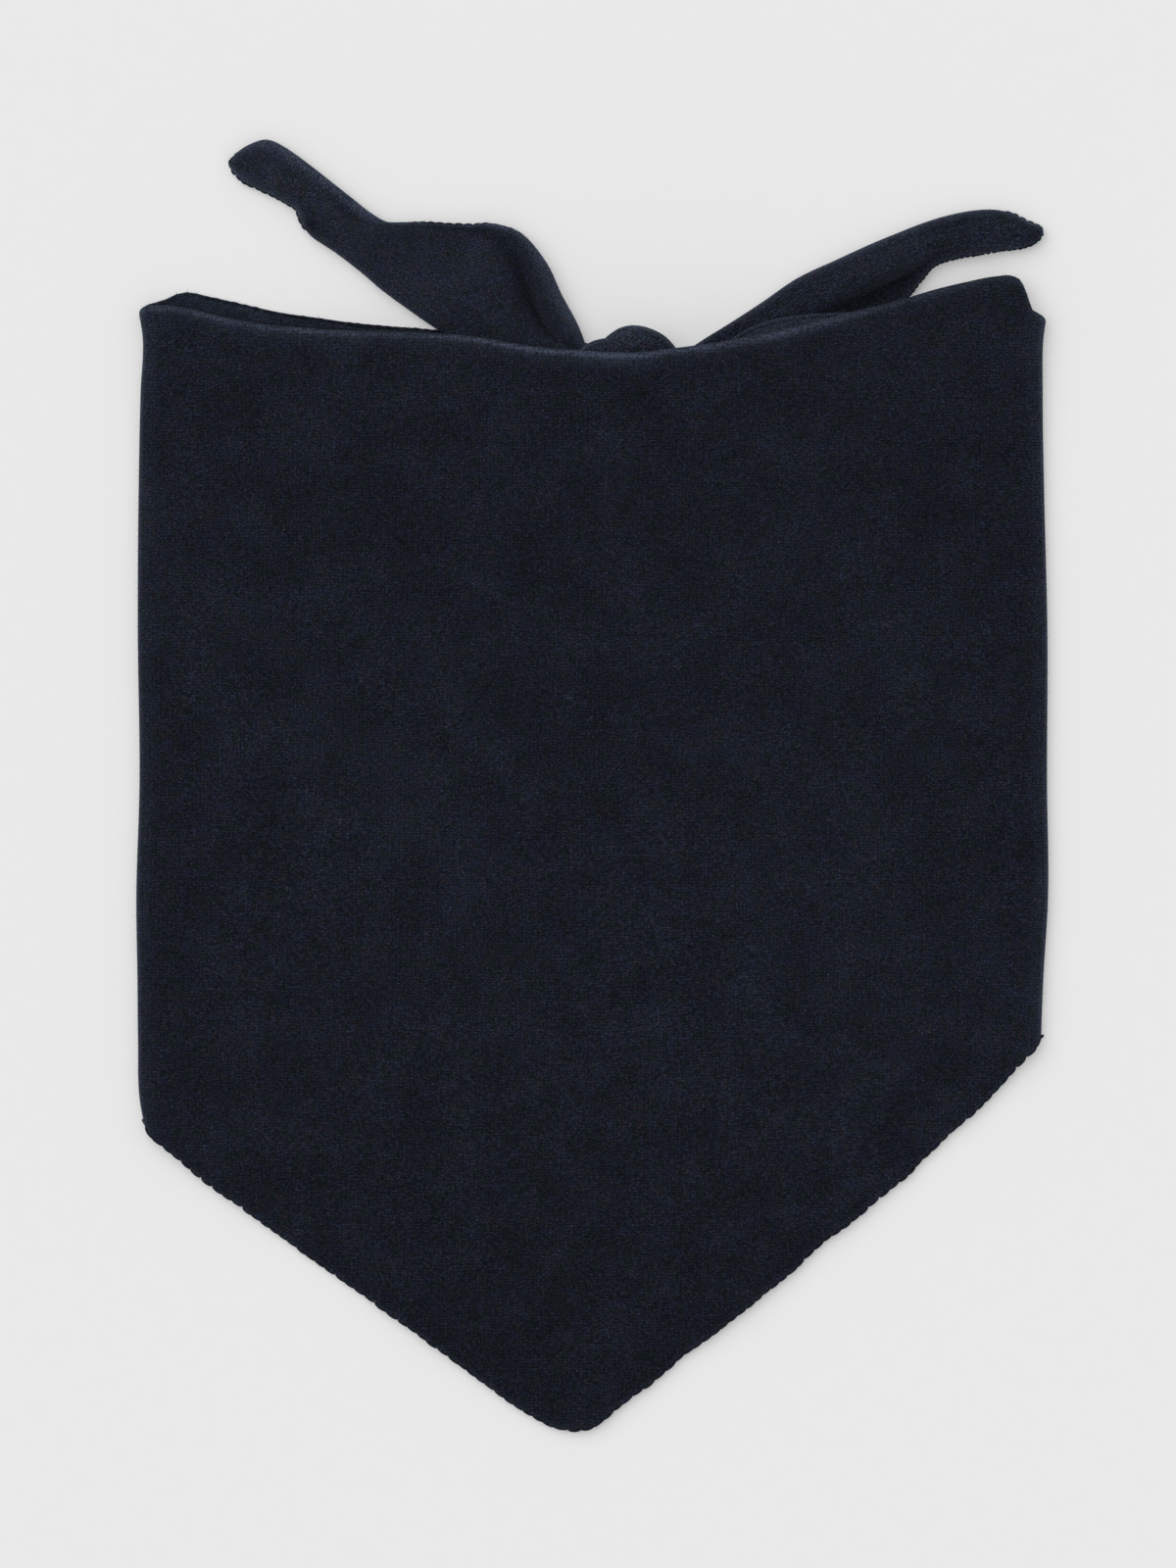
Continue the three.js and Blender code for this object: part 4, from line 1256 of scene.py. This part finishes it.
class BANDANA_OT_stage(bpy.types.Operator):
    """Lay the table, light it softly and put the camera straight above it"""
    bl_idname = "bandana.stage"
    bl_label = "Stage"

    def execute(self, context):
        scene = context.scene
        sizes, colours = scene.bandana_sizes, scene.bandana_colours
        bm = bmesh.new()
        bmesh.ops.create_grid(bm, x_segments=4, y_segments=4, size=6.0)
        mesh = bpy.data.meshes.new("table")
        bm.to_mesh(mesh)
        bm.free()
        mesh.materials.append(plain_material("Table", tuple(colours.table), 0.9, TABLE_GLOW))
        table = bpy.data.objects.new("table", mesh)
        scene.collection.objects.link(table)

        world = bpy.data.worlds.new("Soft room")
        world.use_nodes = True
        backdrop = world.node_tree.nodes["Background"]
        backdrop.inputs[0].default_value = (1.0, 1.0, 1.0, 1.0)
        backdrop.inputs[1].default_value = 0.64
        scene.world = world

        lamp = bpy.data.lights.new("wide softbox", "SUN")
        lamp.energy = 1.48
        lamp.angle = math.radians(70)
        softbox = bpy.data.objects.new("wide softbox", lamp)
        softbox.rotation_euler = (math.radians(-24), math.radians(-28), 0)
        scene.collection.objects.link(softbox)

        lens = bpy.data.cameras.new("camera")
        lens.sensor_fit = "VERTICAL"
        lens.sensor_height = 36.0
        lens.lens = 36.0 * sizes.camera_height / sizes.frame_height
        lens.clip_start, lens.clip_end = 0.1, 20.0
        camera = bpy.data.objects.new("camera", lens)
        camera.location = (-1.5 * MM, 0.0, sizes.camera_height)
        scene.collection.objects.link(camera)
        scene.camera = camera
        scene.view_settings.view_transform = "Standard"
        scene.view_settings.look = "None"
        return {"FINISHED"}


class BANDANA_OT_cloth(bpy.types.Operator):
    """Knit the front, its side folds and the two bands behind it as one cloth"""
    bl_idname = "bandana.cloth"
    bl_label = "Cloth"

    def execute(self, context):
        sizes = context.scene.bandana_sizes
        points, flat, painted_highlight = cloth_body(sizes.cloth_thickness, sizes.roll_radius)
        # The cloth is coloured darker towards the point.
        shade = [[LOWER_SHADE * ease(80, 200, -spot.y) for spot in column] for column in points]
        bm = woven_sheet(points, flat, painted_highlight, shade)
        looks = [finish(context, name) for name in ("Jersey face", "Jersey back", "Turned edge")]
        cloth = new_piece("bandana_cloth", bm, looks)
        add_thickness(cloth, sizes.cloth_thickness * MM)
        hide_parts("front_panel", "left_wing", "right_wing")
        return {"FINISHED"}


class BANDANA_OT_knot(bpy.types.Operator):
    """Tie the two gathered ends in a reef knot"""
    bl_idname = "bandana.knot"
    bl_label = "Reef knot"

    def execute(self, context):
        bm = bmesh.new()
        uv_layer = bm.loops.layers.uv.new("Flat cloth")
        painted_darkening_layer = bm.verts.layers.float.new("crease")
        painted_highlight_layer = bm.verts.layers.float.new("painted_highlight")
        strand_mesh(bm, LEFT_STRAND, 1.0, uv_layer, painted_darkening_layer)
        strand_mesh(bm, RIGHT_STRAND, 5.0, uv_layer, painted_darkening_layer)
        bmesh.ops.holes_fill(bm, edges=[edge for edge in bm.edges if edge.is_boundary], sides=0)
        bmesh.ops.recalc_face_normals(bm, faces=bm.faces)
        bm.normal_update()
        for vert in bm.verts:
            # Painted highlight on the knot's steep sides.
            vert[painted_highlight_layer] = KNOT_HIGHLIGHT * (1 - ease(0.05, 0.75, vert.normal.z))
        knot = new_piece("knot_strands", bm, [finish(context, "Knot cloth")])
        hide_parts("reef_knot")
        return {"FINISHED"}


class BANDANA_OT_tails(bpy.types.Operator):
    """Lay out the two tails, each folded in two along its length"""
    bl_idname = "bandana.tails"
    bl_label = "Tails"

    def execute(self, context):
        sizes = context.scene.bandana_sizes
        # The grid's own side lies outermost in the left tail and innermost in the right one.
        for side, rows, name, node, flat_cut, area, faces in (
            (LEFT, LEFT_TAIL, "left_tail_cloth", "left_tail", (0.140, 0.108), 0.0076,
             ("Lit raised face", "Jersey back")),
            (RIGHT, RIGHT_TAIL, "right_tail_cloth", "right_tail", (0.125, 0.0965), 0.0060,
             ("Jersey back", "Lit jersey face")),
        ):
            looks = [finish(context, face) for face in (*faces, "Turned edge")]
            bm = woven_sheet(*tail_body(rows, side, sizes.cloth_thickness))
            tail = new_piece(name, bm, looks)
            add_thickness(tail, sizes.cloth_thickness * MM)
            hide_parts(node)
        return {"FINISHED"}


class BANDANA_OT_selvedge(bpy.types.Operator):
    """Set the small knitted bumps along the cloth's two long edges"""
    bl_idname = "bandana.selvedge"
    bl_label = "Selvedge"

    def execute(self, context):
        sizes = context.scene.bandana_sizes
        dice = random.Random(sizes.seed)
        points, _, _ = cloth_body(sizes.cloth_thickness, sizes.roll_radius)
        bm = bmesh.new()
        band_end = next(i for i, column in enumerate(points) if column[-1].x < -136)
        band_start = next(i for i, column in enumerate(points) if column[-1].x < -46)
        lines = [
            ([column[0] for column in points], 1.0),
            ([column[-3] for column in points[band_start:band_end]], 0.8),
        ]
        for side, rows, spans in (
            (LEFT, LEFT_TAIL, ((-1, 0.27, 0.50), (0, 0.52, 0.97))),
            (RIGHT, RIGHT_TAIL, ((-1, 0.46, 0.98), (0, 0.40, 0.55))),
        ):
            sheet = tail_body(rows, side, sizes.cloth_thickness)[0]
            strip = sheet if side == LEFT else sheet[::-1]
            turned = strip[UNDER_STEPS + TURN_STEPS // 2]
            outside = [
                spot + (spot - far).normalized() * 0.45 * sizes.cloth_thickness
                for spot, far in zip(turned, strip[-WRAP_STEPS])
            ]
            lines.append((outside[int(TIP_BUMPS_FROM[side] * len(turned)):], 0.6))
            if side == LEFT:
                lines.append(([column[-1] for column in sheet[UNDER_STEPS + TURN_STEPS // 2:]], 0.75))
            for column, start, end in spans:
                if side == RIGHT:
                    column = -1 - column
                line = sheet[column if column else 0]
                first, last = int(start * len(line)), int(end * len(line))
                lines.append((line[first:last], TAIL_BUMP_SIZE[side]))
        for line, size in lines:
            for place, heading in spaced_along(line, sizes.bump_pitch * size, 0.35, dice):
                length = (4.4 + 1.2 * dice.random()) * size
                add_bump(bm, place, heading, length, (0.78 + 0.24 * dice.random()) * size ** 0.5)
        selvedge = new_piece("selvedge_bumps", bm, [finish(context, "Selvedge yarn")])
        return {"FINISHED"}


class BANDANA_OT_nap(bpy.types.Operator):
    """Raise the loose fibres that stand along the folds and edges"""
    bl_idname = "bandana.nap"
    bl_label = "Nap"

    def execute(self, context):
        sizes = context.scene.bandana_sizes
        dice = random.Random(sizes.seed + 1)
        roots = []
        for name, thickness in (
            ("bandana_cloth", sizes.cloth_thickness), ("left_tail_cloth", sizes.cloth_thickness),
            ("right_tail_cloth", sizes.cloth_thickness), ("knot_strands", 0.0),
        ):
            bm = bmesh.new()
            bm.from_mesh(bpy.data.objects[name].data)
            bm.normal_update()
            roots += nap_roots(bm, dice, thickness, 1.5, 0.55, 0.008)
            bm.free()
        bm = bmesh.new()
        add_fibres(bm, roots, dice)
        new_piece("nap_fibres", bm, [finish(context, "Loose fibre")])
        return {"FINISHED"}


OPERATORS = (
    BANDANA_OT_stage, BANDANA_OT_cloth, BANDANA_OT_knot, BANDANA_OT_tails, BANDANA_OT_selvedge,
    BANDANA_OT_nap,
)


class BANDANA_PT_panel(bpy.types.Panel):
    bl_idname = "BANDANA_PT_panel"
    bl_label = "Knitted Bandana"
    bl_space_type = "VIEW_3D"
    bl_region_type = "UI"
    bl_category = "Bandana"

    def draw(self, context):
        column = self.layout.column()
        for group in (context.scene.bandana_sizes, context.scene.bandana_colours):
            for name in group.__annotations__:
                column.prop(group, name)
        for operator in OPERATORS:
            column.operator(operator.bl_idname)


CLASSES = (BandanaSizes, BandanaColours, *OPERATORS, BANDANA_PT_panel)


def register():
    for made in CLASSES:
        bpy.utils.register_class(made)
    bpy.types.Scene.bandana_sizes = PointerProperty(type=BandanaSizes)
    bpy.types.Scene.bandana_colours = PointerProperty(type=BandanaColours)


def unregister():
    del bpy.types.Scene.bandana_colours
    del bpy.types.Scene.bandana_sizes
    for made in reversed(CLASSES):
        bpy.utils.unregister_class(made)


def main():
    register()
    bpy.ops.bandana.stage()
    bpy.ops.bandana.cloth()
    bpy.ops.bandana.knot()
    bpy.ops.bandana.tails()
    bpy.ops.bandana.selvedge()
    bpy.ops.bandana.nap()
    bpy.context.view_layer.update()


if __name__ == "__main__":
    main()
